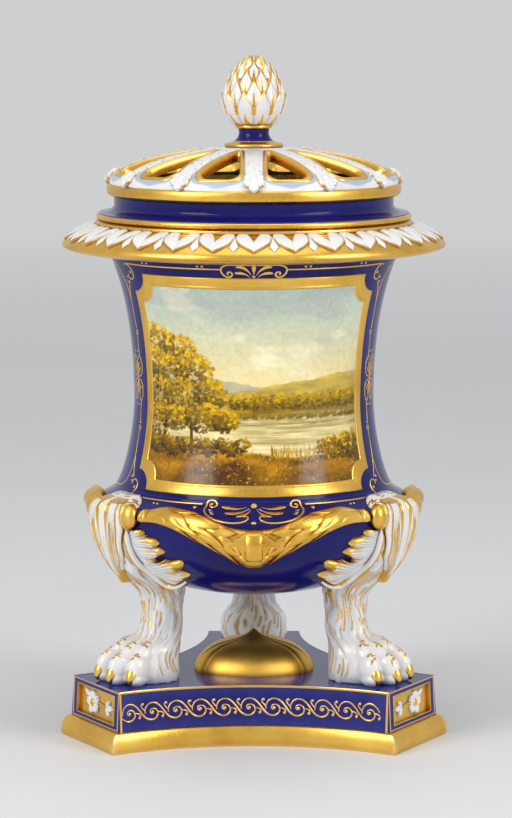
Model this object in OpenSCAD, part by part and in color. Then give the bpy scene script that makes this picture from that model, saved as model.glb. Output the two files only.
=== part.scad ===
// Porcelain potpourri vase: a waisted body on three lion-paw legs and a three-sided plinth,
// with a pierced cover that lifts off.
// Millimetres, +Z up, origin at the centre of the foot on the table, front towards -Y.

/* [Plinth] */
// Height of the plinth, its foot moulding included
plinth_h = 27; // [22:0.5:34]
// From the axis to each cut-off corner, at the plinth's top
corner_dist = 80.8; // [80:0.2:90]
// Width of each cut-off corner
corner_w = 43.4; // [40:0.2:50]
// Depth of the hollow curve of each side
side_hollow = 16; // [10:0.5:18]
// Slope of the plinth's faces from the vertical, in degrees
plinth_batter = 3; // [0:0.5:5]
// Wall of the hollow plinth
plinth_wall = 5; // [3.5:0.5:7]
// Height of the gilt foot moulding
moulding_h = 9.2; // [6:0.2:12]
// How far the foot moulding stands out from the corner faces
moulding_out = 4.3; // [3:0.1:7]
// How far the foot moulding stands out from the hollow sides
moulding_side_out = 2.3; // [1.5:0.1:6]
// Width of the sunk panel in each corner face
panel_w = 34.8; // [28:0.2:37]
// Height of the sunk panel
panel_h = 12.6; // [8:0.2:14]
// Depth of the sunk panel
panel_depth = 1.6; // [0.8:0.1:2.2]
// Radius of the flower in each sunk panel
flower_r = 5.6; // [4:0.1:6]

/* [Boss] */
// Height of the three-lobed boss on the plinth
boss_h = 17.5; // [12:0.5:20]
// From the axis to the boss's corners, towards the legs
boss_reach = 29; // [24:0.5:31]
// From the axis to the middle of the boss's sides
boss_side = 25.4; // [20:0.2:27]

/* [Legs] */
// Height of the bowl's underside above the plinth
leg_h = 36.8; // [32:0.2:42]
// From the axis to the middle of each leg's shank
leg_dist = 47.6; // [46:0.2:50]
// Radius of the shank where it is thinnest
shank_r = 9.3; // [8:0.1:10]
// From the axis to the front of the toes
paw_reach = 78; // [74:0.2:79.5]
// Width of the paw across the toes
paw_w = 32.6; // [28:0.2:36]
// Height of the paw
paw_h = 18; // [15:0.5:21]
// From the axis to the front of the scrolled knee
knee_reach = 76; // [75:0.2:79]
// Width of the scrolled knee
knee_w = 30.4; // [26:0.2:34]
// Thickness of the acanthus leaf on the knee
leaf_t = 1.7; // [1.2:0.1:2.4]
// Number of toes on each paw
toe_count = 4; // [3:1:5]

/* [Garlands] */
// Height of each garland at its middle
garland_h = 17; // [13:0.5:19]
// How far the garlands stand out from the bowl
garland_out = 6; // [4:0.2:8]
// How far the garlands hang down at the middle
garland_drop = 9.5; // [6:0.5:12]
// Height of the oval knobs that hold the garlands
knob_h = 12.2; // [9:0.2:14]
// Width of the oval knobs
knob_w = 8; // [6:0.2:9]
// Number of laurel leaves along each half of a garland
laurel_count = 5; // [3:1:7]

/* [Bowl] */
// Height of the bowl
bowl_h = 48.4; // [44:0.2:54]
// Widest radius of the bowl
bowl_r = 72.5; // [70:0.1:74]
// Radius of the bowl's flat underside
bowl_foot_r = 19.5; // [15:0.5:26]
// Height of the shoulder above the bowl's widest place
shoulder_h = 9.2; // [7:0.2:12]
// Roundness of the bowl's underside, 2 for an ellipse
bowl_round = 2.2; // [2:0.05:2.6]
// Wall of the bowl, the body and the cover
wall = 4; // [3:0.25:5]

/* [Body] */
// Height of the waisted body
body_h = 103.6; // [80:0.2:120]
// Radius at the body's foot
body_foot_r = 62; // [60:0.1:64]
// Radius at the waist
waist_r = 54; // [50:0.1:57]
// Radius at the body's top
body_top_r = 64.7; // [62:0.1:66]
// Height of the waist above the body's foot
waist_z = 37.8; // [30:0.2:48]

/* [Rim] */
// Height of the spreading rim
rim_h = 13.2; // [11:0.2:18]
// Widest radius of the rim
rim_r = 86; // [82:0.1:90]
// Height of the rim's widest place above its underside
rim_wide_z = 4.2; // [3:0.1:8]
// Number of leaves round the rim
rim_leaf_count = 30; // [24:1:36]
// Relief of the rim's leaves
rim_leaf_t = 0.9; // [0.5:0.1:1.4]

/* [Neck] */
// Radius of the gilt ring above the rim
ring_r = 70.6; // [69:0.1:73]
// Height of the gilt ring
ring_h = 5; // [3:0.1:6]
// Outer radius of the upright neck
neck_r = 62.7; // [61:0.1:65]
// Height of the neck above the gilt ring
neck_h = 7.8; // [6:0.1:11]
// Inner radius of the mouth
mouth_r = 58.7; // [56:0.1:59.5]

/* [Cover] */
// Radius of the cover's gilt rim
cover_r = 66; // [64:0.1:69]
// Height of the cover's gilt rim
cover_rim_h = 5.6; // [4:0.1:8]
// Depth of the flange that drops into the mouth
flange_h = 7; // [4:0.5:12]
// Gap between the flange and the mouth
flange_gap = 0.5; // [0.2:0.05:1]
// Wall of the flange
flange_wall = 3; // [2:0.25:4]
// Height of the dome above the cover's rim
dome_h = 16.4; // [12:0.2:22]
// Number of pierced openings
opening_count = 12; // [8:1:14]
// Width of the strap between two openings
strap_w = 8.4; // [6.5:0.1:9.5]
// Width of the ledge round each opening
ledge_w = 1.3; // [0.6:0.1:1.8]
// Depth of that ledge
ledge_depth = 1; // [0.5:0.1:1.6]
// Inner end of the openings, from the axis
opening_in_r = 22; // [19:0.2:26]
// Outer end of the openings, from the axis
opening_out_r = 62.6; // [56:0.2:63]

/* [Finial] */
// Radius of the gilt collar under the finial
collar_r = 13.2; // [11:0.1:16]
// Height of the gilt collar
collar_h = 2.8; // [2:0.1:4]
// Radius of the stem at its narrowest
stem_r = 6.7; // [5:0.1:8]
// Height of the stem
stem_h = 6.2; // [4:0.1:9]
// Height of the bud
bud_h = 32.6; // [26:0.2:40]
// Widest radius of the bud
bud_r = 14.2; // [12:0.1:17]
// Number of scales round the bud
scale_count = 8; // [6:1:10]
// Number of rows of scales up the bud
scale_rows = 5; // [4:1:7]

/* [Hidden] */

$fn = 96;
gap = 0.15;      // clearance of a piece that is laid on a curved face
eps = 0.01;      // overshoot of a cutter past the face that it cuts
left_az = 210;   // directions of the three legs
right_az = 330;
back_az = 90;
front_side = 270; // directions of the three hollow sides
right_side = 30;
left_side = 150;

// Heights of the seams, from the table up
bowl_z = plinth_h + leg_h;
body_z = bowl_z + bowl_h;
rim_z = body_z + body_h;
ring_z = rim_z + rim_h;
neck_z = ring_z + ring_h;
cover_z = neck_z + neck_h;
dome_z = cover_z + cover_rim_h;
bowl_wide_z = body_z - shoulder_h;

// Plan of the plinth: half the chord of a hollow side, its distance from the axis, and the
// circle that hollows it
side_half = corner_dist * cos(30) - corner_w / 2 * sin(30);
side_dist = corner_dist * sin(30) + corner_w / 2 * cos(30);
hollow_r = (side_half * side_half + side_hollow * side_hollow) / (2 * side_hollow);
hollow_dist = side_dist - side_hollow + hollow_r;
block_h = plinth_h - moulding_h;
batter_out = block_h * tan(plinth_batter);

// A point on the cubic curve through four control points
function bezier(p, t) = pow(1 - t, 3) * p[0] + 3 * t * pow(1 - t, 2) * p[1]
    + 3 * t * t * (1 - t) * p[2] + pow(t, 3) * p[3];
function curve(p, steps) = [for (i = [0:steps]) bezier(p, i / steps)];
function reversed(list) = [for (i = [len(list) - 1:-1:0]) list[i]];
function smooth(t) = let (s = max(0, min(1, t))) s * s * (3 - 2 * s);
function polar(r, a) = [r * cos(a), r * sin(a)];
function signed_pow(x, e) = sign(x) * pow(abs(x), e);

// Smooth value at x of a column of a table of stations, each [x, values...]
function station_value(table, x, col) =
    let (last = len(table) - 1,
         i = max([for (k = [0:last - 1]) x >= table[k][0] ? k : 0]),
         a = table[max(i - 1, 0)], b = table[i], c = table[i + 1], d = table[min(i + 2, last)],
         span = c[0] - b[0], t = (x - b[0]) / span,
         slope_b = (c[col] - a[col]) / (c[0] - a[0]) * span,
         slope_c = (d[col] - b[col]) / (d[0] - b[0]) * span)
    (2 * t * t * t - 3 * t * t + 1) * b[col] + (t * t * t - 2 * t * t + t) * slope_b
    + (3 * t * t - 2 * t * t * t) * c[col] + (t * t * t - t * t) * slope_c;

// Solid through a stack of closed rings that all have the same number of points, running
// anticlockwise seen from the last ring's end; its end caps fan out from point "from"
module loft(rings, from = 0) {
    n = len(rings[0]);
    m = len(rings);
    points = [for (ring = rings) each ring];
    sides = [for (i = [0:m - 2], j = [0:n - 1]) let (k = (j + 1) % n)
        each [[i * n + j, (i + 1) * n + j, (i + 1) * n + k], [i * n + j, (i + 1) * n + k, i * n + k]]];
    fan = [for (j = [1:n - 2]) [from, (from + j) % n, (from + j + 1) % n]];
    high_cap = [for (f = fan) [f[0], f[2], f[1]] + [1, 1, 1] * (m - 1) * n];
    polyhedron(points, concat(sides, fan, high_cap));
}

// Solid between two sheets of points with the same rows and columns; seen from the outer
// sheet, the columns run to the left of the rows
module sheet(outer, inner) {
    n = len(outer[0]);
    m = len(outer);
    under = m * n;
    points = concat([for (row = outer) each row], [for (row = inner) each row]);
    faces = [for (i = [0:m - 2], j = [0:n - 2]) let (a = i * n + j, b = a + 1, c = a + n, d = c + 1)
        each [[a, b, d], [a, d, c], [under + a, under + d, under + b], [under + a, under + c, under + d]]];
    ends = [for (j = [0:n - 2]) let (a = j, c = (m - 1) * n + j)
        each [[a, under + a, under + a + 1], [a, under + a + 1, a + 1],
              [c, under + c + 1, under + c], [c, c + 1, under + c + 1]]];
    edges = [for (i = [0:m - 2]) let (a = i * n, c = i * n + n - 1)
        each [[a, under + a + n, under + a], [a, a + n, under + a + n],
              [c, under + c, under + c + n], [c, under + c + n, c + n]]];
    polyhedron(points, concat(faces, ends, edges));
}

// Turned shape from its half outline, listed as [radius, height]
module turned(outline) {
    rotate_extrude() polygon(outline);
}

// Three-sided block with cut-off corners and hollow sides; from its underside to its top the
// corner faces are drawn in by "slope_in" and the hollow sides by "side_in"
module triform(reach, hollow, height, slope_in, side_in) {
    tilt = atan(slope_in / height);
    over = eps * side_in / height;
    difference() {
        linear_extrude(height) polygon([for (a = [front_side, right_side, left_side])
            polar(2 * (reach + abs(slope_in) + 1), a)]);
        for (a = [left_az, right_az, back_az]) rotate(a)
            translate([reach, 0, height]) rotate([0, -tilt, 0])
                translate([0, -2 * reach, -2 * reach]) cube([2 * reach, 4 * reach, 3 * reach]);
        for (a = [front_side, right_side, left_side]) rotate(a)
            translate([hollow_dist, 0, -eps])
                cylinder(h = height + 2 * eps, r1 = hollow - side_in - over, r2 = hollow + over);
    }
}

module plinth() {
    color("midnightblue") translate([0, 0, moulding_h]) difference() {
        triform(corner_dist, hollow_r, block_h, batter_out, batter_out);
        translate([0, 0, -eps])
            triform(corner_dist - plinth_wall, hollow_r + plinth_wall, block_h - plinth_wall + eps, 0, 0);
        for (a = [left_az, right_az, back_az]) rotate(a) panel_place()
            translate([-panel_depth, -panel_w / 2, -panel_h / 2])
                cube([panel_depth + 1, panel_w, panel_h]);
    }
}

// The middle of a corner face, seen from the plinth block's underside
module panel_place() {
    translate([corner_dist, 0, block_h]) rotate([0, -plinth_batter, 0])
        translate([0, 0, -block_h / 2]) children();
}

// Edge of the foot moulding: the share of its width by which it falls back at each height
function moulding_edge(steps) = concat([[0.14, 0]],
    [for (i = [0:steps]) let (a = 90 * i / steps)
        [0.94 * (1 - cos(a)), moulding_h * (0.24 + 0.76 * sin(a))]]);

// The moulding is a stack of layers, each a hair smaller than the one that it stands on
module foot_moulding() {
    base_reach = corner_dist + batter_out + moulding_out;
    base_hollow = hollow_r - batter_out - moulding_side_out;
    edge = moulding_edge(5);
    step = 0.04;
    color("goldenrod") difference() {
        for (i = [0:len(edge) - 2])
            let (low = edge[i], high = edge[i + 1], fall = moulding_out * high[0] + i * step,
                 side_fall = moulding_side_out * high[0] + i * step)
                translate([0, 0, low[1]])
                    triform(base_reach - fall, base_hollow + side_fall, high[1] - low[1],
                            moulding_out * (high[0] - low[0]), moulding_side_out * (high[0] - low[0]));
        translate([0, 0, -eps])
            triform(corner_dist - plinth_wall, hollow_r + plinth_wall, moulding_h + 2 * eps, 0, 0);
    }
}

// Boss on the plinth: a swelling dome with ridges towards the legs, drawn up into a point.
// The share of the boss's reach runs from 1 at its edge to 0 at the point.
function boss_rise(share) =
    boss_h * (0.74 * pow(1 - pow(share, 3), 0.55) + 0.26 * pow(max(0, 1 - share / 0.5), 2.5));
function boss_ring(share) =
    [for (j = [0:29]) let (a = 12 * j, ridge = pow((1 + cos(3 * (a - back_az))) / 2, 2))
        [each polar((boss_side + (boss_reach - boss_side) * ridge) * share, a), plinth_h + boss_rise(share)]];

module plinth_boss() {
    color("darkgoldenrod") loft([for (k = [1, 0.97, 0.89, 0.75, 0.56, 0.36, 0.2, 0.09, 0.02]) boss_ring(k)]);
}

// Flower spray in a sunk panel: five petals round an eye, and a three-lobed leaf on a stem.
// The flower stands on the side that way points to, 1 for right and -1 for left.
module flower(az, way) {
    petal_t = panel_depth + 0.6;
    flower_x = panel_w * 0.12 * way;
    leaf_x = -panel_w * 0.3 * way;
    translate([0, 0, moulding_h]) rotate(az) panel_place()
        translate([-panel_depth, 0, 0]) rotate([90, 0, 90]) {
            translate([flower_x, 0, 0]) {
                color("white") linear_extrude(petal_t)
                    polygon([for (a = [0:6:354]) polar(flower_r * (0.78 + 0.22 * cos(5 * (a - 90))), a)]);
                color("gold") translate([0, 0, petal_t])
                    cylinder(h = 0.6, r1 = flower_r * 0.3, r2 = flower_r * 0.2);
            }
            color("white") translate([leaf_x, 0, 0]) linear_extrude(panel_depth)
                polygon([for (a = [0:15:345]) polar(flower_r * (0.55 - 0.3 * way * cos(3 * a)), a)]);
            color("gold") translate([min(leaf_x, flower_x), -0.5, 0])
                cube([abs(flower_x - leaf_x), 1, panel_depth * 0.7]);
        }
}

// Outer radius of the bowl at a height: a full underside, then a shoulder that runs into the body
bowl_depth = (bowl_wide_z - bowl_z) / pow(1 - pow(bowl_foot_r / bowl_r, bowl_round), 1 / bowl_round);
function bowl_radius(z) = z >= bowl_wide_z
    ? body_foot_r + (bowl_r - body_foot_r) * (1 + cos(180 * (z - bowl_wide_z) / shoulder_h)) / 2
    : bowl_r * pow(1 - pow((bowl_wide_z - max(z, bowl_z)) / bowl_depth, bowl_round), 1 / bowl_round);
function bowl_inner_radius(z) = z >= bowl_wide_z ? bowl_radius(z) - wall
    : (bowl_r - wall) * pow(1 - pow((bowl_wide_z - z) / (bowl_depth - wall), bowl_round), 1 / bowl_round);

// Heights of the points on the bowl's outline; the legs share them, so that they lie close
bowl_rise = bowl_wide_z - bowl_z;
bowl_steps = 11;
shoulder_steps = 5;
shoulder_levels = [for (i = [1:shoulder_steps]) bowl_wide_z + shoulder_h * i / shoulder_steps];
bowl_levels = concat([for (i = [0:bowl_steps]) bowl_z + bowl_rise * (1 - cos(90 * i / bowl_steps))],
    shoulder_levels);

module bowl() {
    floor_z = bowl_z + wall;
    inside = concat([for (i = [0:bowl_steps])
        floor_z + (bowl_wide_z - floor_z) * (1 - cos(90 * i / bowl_steps))], shoulder_levels);
    color("navy") turned(concat([[0, bowl_z]], [for (z = bowl_levels) [bowl_radius(z), z]],
        [for (z = reversed(inside)) [bowl_inner_radius(z), z]], [[0, floor_z]]));
}

// Stations of a leg from the sole to the top of the knee: height, front, back, half width,
// squareness and depth of the clefts between the toes
knee_z = bowl_wide_z + 1;
heel = leg_dist - shank_r;
leg_stations = [
    [plinth_h, paw_reach - 2, heel + 3.4, paw_w * 0.47, 2.3, 0.9],
    [plinth_h + paw_h * 0.2, paw_reach, heel + 3, paw_w * 0.5, 2.3, 1],
    [plinth_h + paw_h * 0.5, paw_reach - 0.6, heel + 2.8, paw_w * 0.49, 2.2, 0.9],
    [plinth_h + paw_h * 0.78, paw_reach - 4, heel + 2.4, paw_w * 0.44, 2.1, 0.6],
    [plinth_h + paw_h * 0.98, paw_reach - 11.5, heel + 1.6, paw_w * 0.37, 2, 0.3],
    [plinth_h + paw_h * 1.1, leg_dist + shank_r + 3.2, heel + 0.8, shank_r + 1.3, 2, 0.1],
    [plinth_h + paw_h * 1.3, leg_dist + shank_r + 0.8, heel + 0.2, shank_r + 0.4, 2, 0],
    [plinth_h + leg_h * 0.86, leg_dist + shank_r - 0.2, heel, shank_r, 2, 0],
    [bowl_z + bowl_rise * 0.05, leg_dist + shank_r * 1.15, heel - 0.8, shank_r * 1.17, 2.1, 0],
    [bowl_z + bowl_rise * 0.2, leg_dist + shank_r * 1.67, heel, shank_r * 1.39, 2.4, 0],
    [bowl_z + bowl_rise * 0.38, knee_reach * 0.926, heel + shank_r * 0.86, knee_w * 0.48, 3, 0],
    [bowl_z + bowl_rise * 0.69, knee_reach * 0.988, heel + shank_r * 1.94, knee_w * 0.5, 4, 0],
    [knee_z, knee_reach, heel + shank_r * 2.37, knee_w * 0.5, 4.5, 0],
    [knee_z + shoulder_h * 0.5, knee_reach * 0.974, heel + shank_r * 2.37, knee_w * 0.5, 4, 0],
    [body_z - 0.6, knee_reach * 0.887, heel + shank_r * 2.37, knee_w * 0.46, 3.2, 0]
];
ring_points = 36;
knee_levels = [for (z = bowl_levels) if (z > bowl_z + bowl_rise * 0.1 && z < body_z - 1) z];

// Plan radius of a paw is cleft between its toes; "phi" is 0 at the front of the paw
function toe_cleft(phi) = let (span = 150 / toe_count, near = (phi + 75) / span,
        off = (near - round(near)) * span)
    abs(phi) > 75 + span / 4 ? 0 : exp(-off * off / 60);

// Moves a point of a leg's plan out to the bowl's face where it would lie inside the bowl
function clear_of_bowl(p, z) = let (least = z > bowl_z - gap ? bowl_radius(z) + gap : 0, r = norm(p))
    r >= least ? p : p * least / r;

// A point of a leg's skin, at a height and an angle round the leg, stood off by "out"
function leg_point(z, phi, out) =
    let (front = station_value(leg_stations, z, 1) + out, back = station_value(leg_stations, z, 2),
         half = station_value(leg_stations, z, 3) + out, square = station_value(leg_stations, z, 4),
         cleft = 1 - 0.11 * station_value(leg_stations, z, 5) * toe_cleft(phi),
         mid = (front + back) / 2)
    [mid + (front - back) / 2 * signed_pow(cos(phi), 2 / square) * cleft,
     half * signed_pow(sin(phi), 2 / square) * cleft];

function leg_ring(z) = [for (j = [0:ring_points - 1])
    [each clear_of_bowl(leg_point(z, 360 * j / ring_points, 0), z), z]];

// Claw that shows at the tip of a toe
module claw(phi) {
    claw_z = plinth_h + paw_h * 0.3;
    tip = leg_point(claw_z, phi, -1.1);
    translate([tip[0], tip[1], claw_z]) rotate([0, -14 * cos(phi), 0]) rotate_extrude()
        polygon([for (a = [-90:18:90]) [paw_w * 0.077 * cos(a), paw_h * 0.24 * sin(a)]]);
}

module leg(az) {
    heights = concat([for (i = [0:8]) plinth_h + paw_h * 1.15 * pow(i / 8, 0.85)],
        [for (i = [1:3]) plinth_h + paw_h * 1.15 + (bowl_z - plinth_h - paw_h * 1.15) * i / 3],
        knee_levels, [body_z - 0.6]);
    toe_span = 150 / toe_count;
    rotate(az) color("whitesmoke") {
        loft([for (z = heights) leg_ring(z)]);
        for (i = [0:toe_count - 1]) claw(-75 + toe_span * (i + 0.5));
    }
}

// Acanthus leaf over the front of the knee, from the top of the scroll to a tip that curls out
module knee_leaf(az) {
    levels = [for (z = knee_levels) if (z > bowl_z + bowl_rise * 0.13) z];
    rows = len(levels) - 1;
    cols = 8;
    tip_z = levels[0];
    top_z = levels[rows];
    function half_angle(t) = 58 * pow(smooth(0.12 + 1.1 * t), 0.7) * (1 - 0.1 * pow(sin(540 * t), 2));
    function stand_off(t, v) = leaf_t * (1 - 0.45 * pow(abs(v), 3)) + 0.5 * cos(540 * v)
        + 4.2 * pow(max(0, 1 - t / 0.22), 2);
    function row(i, off) = let (z = levels[i], t = (z - tip_z) / (top_z - tip_z))
        [for (j = [0:cols]) let (v = 2 * j / cols - 1, p = leg_point(z, v * half_angle(t), off(t, v)))
            [each clear_of_bowl(p, z), z]];
    rotate(az) color("white")
        sheet([for (i = [0:rows]) row(i, function (t, v) 2 * gap + stand_off(t, v))],
              [for (i = [0:rows]) row(i, function (t, v) 2 * gap + 3.4 * pow(max(0, 1 - t / 0.22), 2))]);
}

// Two acanthus leaves that spread from the sides of a leg over the bowl, each in two lobes
module side_leaves(az) {
    rows = 12;
    cols = 3;
    low_z = bowl_z + 7.5;
    high_z = knee_z - knob_h / 2 - 1;
    leg_half_az = 1.2 + asin(knee_w / 2 / knee_reach);
    function inner_az(z) = let (skin = leg_point(z, 90, gap + 0.3)[1])
        max(leg_half_az - 1, asin(min(0.9, skin / (bowl_radius(z) + gap)))) + 0.6;
    function reach(t) = 3.5 + (t < 0.5 ? 18 : 12.5) * pow(abs(sin(360 * t)), 0.6);
    function row(i, s, outer) = let (t = i / rows, z = low_z + (high_z - low_z) * t)
        [for (j = [0:cols]) let (v = j / cols, a = inner_az(z) + reach(t) * v, edge_z = z + 0.6 * v,
                crown = outer ? 0.9 + 2.4 * pow(1 - v, 0.8) + 0.8 * pow(sin(360 * v), 2) : 0,
                r = bowl_radius(edge_z) + 2 * gap + crown)
            [each polar(r, s * a), edge_z]];
    rotate(az) color("whitesmoke") {
        sheet([for (i = [0:rows]) row(i, 1, true)], [for (i = [0:rows]) row(i, 1, false)]);
        sheet([for (i = [rows:-1:0]) row(i, -1, true)], [for (i = [rows:-1:0]) row(i, -1, false)]);
    }
}

// Oval gilt knobs on both sides of a knee
module knobs(az) {
    knob_x = knee_reach - 1.6;
    seat = knee_w / 2 + gap;
    rotate(az) color("goldenrod") for (s = [-1, 1])
        intersection() {
            translate([knob_x, s * (seat + knob_w * 0.28), knee_z]) rotate_extrude()
                polygon([for (a = [-90:10:90]) [knob_w / 2 * cos(a), knob_h / 2 * sin(a)]]);
            translate([knob_x - knob_w, s > 0 ? seat : -seat - 2 * knob_w, knee_z - knob_h])
                cube([2 * knob_w, 2 * knob_w, 2 * knob_h]);
        }
}

// Garland between two legs: a laurel swag on the bowl, thickest under the tie at its middle
module garland(side_az) {
    knob_tip = knee_w / 2 + gap + knob_w * 0.78;
    half_span = 60 - atan(knob_tip / (knee_reach - 1.6 - knob_w / 4)) - 0.8;
    steps = 34;
    around = 8;
    tie = 0.1;
    back = [0.75, 0.4, 0, -0.5];
    function seat_r(z) = max([for (d = [-1, 0, 1]) bowl_radius(z + d * shoulder_h * 0.13)]) + gap;
    function swell(v) = abs(v) < tie ? 1.1 : 0.2 + 0.72 * pow(1 - v * v, 0.8);
    function laurel(v) = abs(v) < tie ? 0 : let (n = abs(v) * laurel_count) n - floor(n);
    function ring(i) = let (v = 2 * i / steps - 1, a = v * half_span,
            half = garland_h / 2 * swell(v), mid_z = knee_z - garland_drop * (1 - v * v),
            out = garland_out * (0.42 + 0.58 * swell(v)) * (1 - 0.16 * laurel(v)))
        concat([for (j = [0:around]) let (b = 180 * j / around - 90,
                    z = mid_z + half * sin(b) * (1 + 0.1 * (0.5 - laurel(v))))
                [each polar(bowl_radius(z) + gap + 0.3 + out * pow(max(cos(b), 0), 0.7), a), z]],
            [for (b = back) let (z = mid_z + half * b) [each polar(seat_r(z), a), z]]);
    rotate(side_az) color("goldenrod") loft(reversed([for (i = [0:steps]) ring(i)]), around / 2);
}

// Wall of the waisted body, as its radius and height up the outside
body_steps = 12;
body_outline = concat(
    curve([[body_foot_r, body_z], [body_foot_r - 0.37 * (body_foot_r - waist_r), body_z + 0.12 * waist_z],
           [waist_r + 0.6, body_z + 0.55 * waist_z], [waist_r, body_z + waist_z]], body_steps),
    [for (i = [1:body_steps]) bezier([[waist_r, body_z + waist_z],
        [waist_r, rim_z - 0.65 * (body_h - waist_z)],
        [waist_r + 0.22 * (body_top_r - waist_r), rim_z - 0.3 * (body_h - waist_z)],
        [body_top_r, rim_z]], i / body_steps)]);

module body_wall() {
    color("midnightblue")
        turned(concat(body_outline, reversed([for (p = body_outline) [p[0] - wall, p[1]]])));
}

// Spreading rim: upper curve from the gilt ring to the widest place, lower curve back to the body
ring_seat_r = ring_r - 0.4;
ring_fillet_r = ring_r + 0.4;
rim_top = [[ring_seat_r, ring_z], [ring_seat_r + 0.4 * (rim_r - ring_seat_r), ring_z],
           [rim_r, rim_z + rim_h * 0.55], [rim_r, rim_z + rim_wide_z]];
rim_under = [[rim_r, rim_z + rim_wide_z], [rim_r, rim_z + 0.5 * rim_wide_z],
             [rim_r - 0.42 * (rim_r - body_top_r), rim_z + 0.24 * rim_wide_z], [body_top_r, rim_z]];

module rim() {
    color("goldenrod") turned(concat([[mouth_r, ring_z]], curve(rim_top, 14),
        [for (i = [1:12]) bezier(rim_under, i / 12)], [[body_top_r - wall, rim_z]]));
}

// Share of the rim's upper curve at which it reaches a radius
function rim_share(r, low = 0, high = 1, tries = 14) = let (mid = (low + high) / 2)
    tries == 0 ? mid : bezier(rim_top, mid)[0] < r ? rim_share(r, mid, high, tries - 1)
        : rim_share(r, low, mid, tries - 1);

// Leaves that lie on the rim's upper curve, tips outwards, each with a hollow along its middle;
// they start beside the neck ring's fillet
module rim_leaves() {
    root = rim_share(ring_fillet_r + gap);
    length = 0.77 - root;
    rows = 4;
    pitch = 360 / rim_leaf_count;
    function edge(t) = pitch * 0.47 * pow(sin(min(180, 35 + 145 * t)), 0.8) + 0.12;
    function place(t, a, out) = let (p = bezier(rim_top, root + length * t),
            q = bezier(rim_top, root + length * t + 0.01), along = (q - p) / norm(q - p),
            s = p + out * [-along[1], along[0]])
        [each polar(s[0], a), s[1]];
    function row(i, crown) = let (t = i / rows)
        [for (v = [-1, 0, 1]) place(t, v * edge(t), gap + crown * (1 - 0.6 * abs(v)))];
    color("white") for (k = [0:rim_leaf_count - 1]) rotate(k * pitch - 90)
        sheet([for (i = [0:rows]) row(i, rim_leaf_t)], [for (i = [0:rows]) row(i, 0)]);
}

// Neck ring: a round bead over a wider fillet
module neck_ring() {
    bead = ring_h * 0.26;
    fillet_z = neck_z - 2 * bead;
    color("goldenrod") turned(concat(
        [[mouth_r, ring_z], [ring_fillet_r, ring_z], [ring_fillet_r, fillet_z - 0.7],
         [ring_seat_r - 0.6, fillet_z - 0.1], [ring_seat_r - 0.6, fillet_z]],
        [for (a = [-90:15:90]) [ring_r - bead + bead * cos(a), neck_z - bead + bead * sin(a)]],
        [[mouth_r, neck_z]]));
}

module neck() {
    foot_r = ring_r - 1.2;
    sweep = neck_h * 0.46;
    color("midnightblue") turned(concat([[mouth_r, neck_z], [foot_r, neck_z], [foot_r, neck_z + 0.4]],
        [for (a = [0:15:90]) [foot_r - (foot_r - neck_r) * sin(a), neck_z + 0.4 + sweep * (1 - cos(a))]],
        [[neck_r, cover_z], [mouth_r, cover_z]]));
}

// Cover's gilt rim, with the flange that keeps it in the mouth
flange_r = mouth_r - flange_gap;
module cover_rim() {
    in_r = flange_r - flange_wall;
    seat_r = neck_r - 0.4;
    color("goldenrod") turned(concat(
        [[in_r, cover_z - flange_h], [flange_r, cover_z - flange_h], [flange_r, cover_z], [seat_r, cover_z]],
        curve([[seat_r, cover_z], [cover_r, cover_z], [cover_r, cover_z + 0.3 * cover_rim_h],
               [cover_r, cover_z + 0.55 * cover_rim_h]], 6),
        [for (i = [1:6]) bezier([[cover_r, cover_z + 0.55 * cover_rim_h], [cover_r, dome_z - 0.7],
            [dome_r + 0.5, dome_z], [dome_r, dome_z]], i / 6)],
        [[in_r, dome_z]]));
}

// Dome of the cover: height of its outside at a radius, flattened under the finial's collar
dome_r = cover_r - 1.2;
dome_round = 1.85;
function dome_height(r, foot_r, rise) =
    dome_z + rise * pow(1 - pow(min(r, foot_r) / foot_r, dome_round), 1 / dome_round);
function dome_outline(foot_r, rise, flat_r) = concat([[0, dome_height(flat_r, foot_r, rise)]],
    [for (i = [0:14]) let (r = flat_r + (foot_r - flat_r) * sin(90 * i / 14))
        [r, dome_height(r, foot_r, rise)]]);

// Outline of an opening, drawn in by "inset": a wedge between two parallel-sided straps,
// with round corners at its wide end
function opening_outline(inset) =
    let (half = 180 / opening_count, off = strap_w / 2 + inset, round_r = 5,
         out_r = opening_out_r - inset, in_r = max(opening_in_r + inset, (off + 0.5) / sin(half)),
         tip_a = half - asin(off / in_r),
         corner_a = half - asin((off + round_r) / (out_r - round_r)),
         corner = polar(out_r - round_r, corner_a), turn = 90 + half - corner_a,
         upper = concat([for (i = [1:2]) polar(out_r, corner_a * i / 3)],
             [for (i = [0:5]) corner + polar(round_r, corner_a + turn * i / 5)], [polar(in_r, tip_a)]))
    concat([for (p = reversed(upper)) [p[0], -p[1]]], [[out_r, 0]], upper);

module cover_dome() {
    collar_flat = collar_r + 0.3;
    inner_r = dome_r - wall;
    pitch = 360 / opening_count;
    color("white") difference() {
        turned(dome_outline(dome_r, dome_h, collar_flat));
        translate([0, 0, -eps]) turned(dome_outline(inner_r, dome_h - wall, collar_flat));
        for (k = [0:opening_count - 1]) rotate((k + 0.5) * pitch - 90) {
            translate([0, 0, dome_z - 1]) linear_extrude(dome_h + 2) polygon(opening_outline(ledge_w));
            difference() {
                translate([0, 0, dome_z + 1]) linear_extrude(dome_h + 2) polygon(opening_outline(0));
                turned(dome_outline(dome_r - ledge_depth, dome_h - ledge_depth, collar_flat));
            }
        }
    }
}

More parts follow.
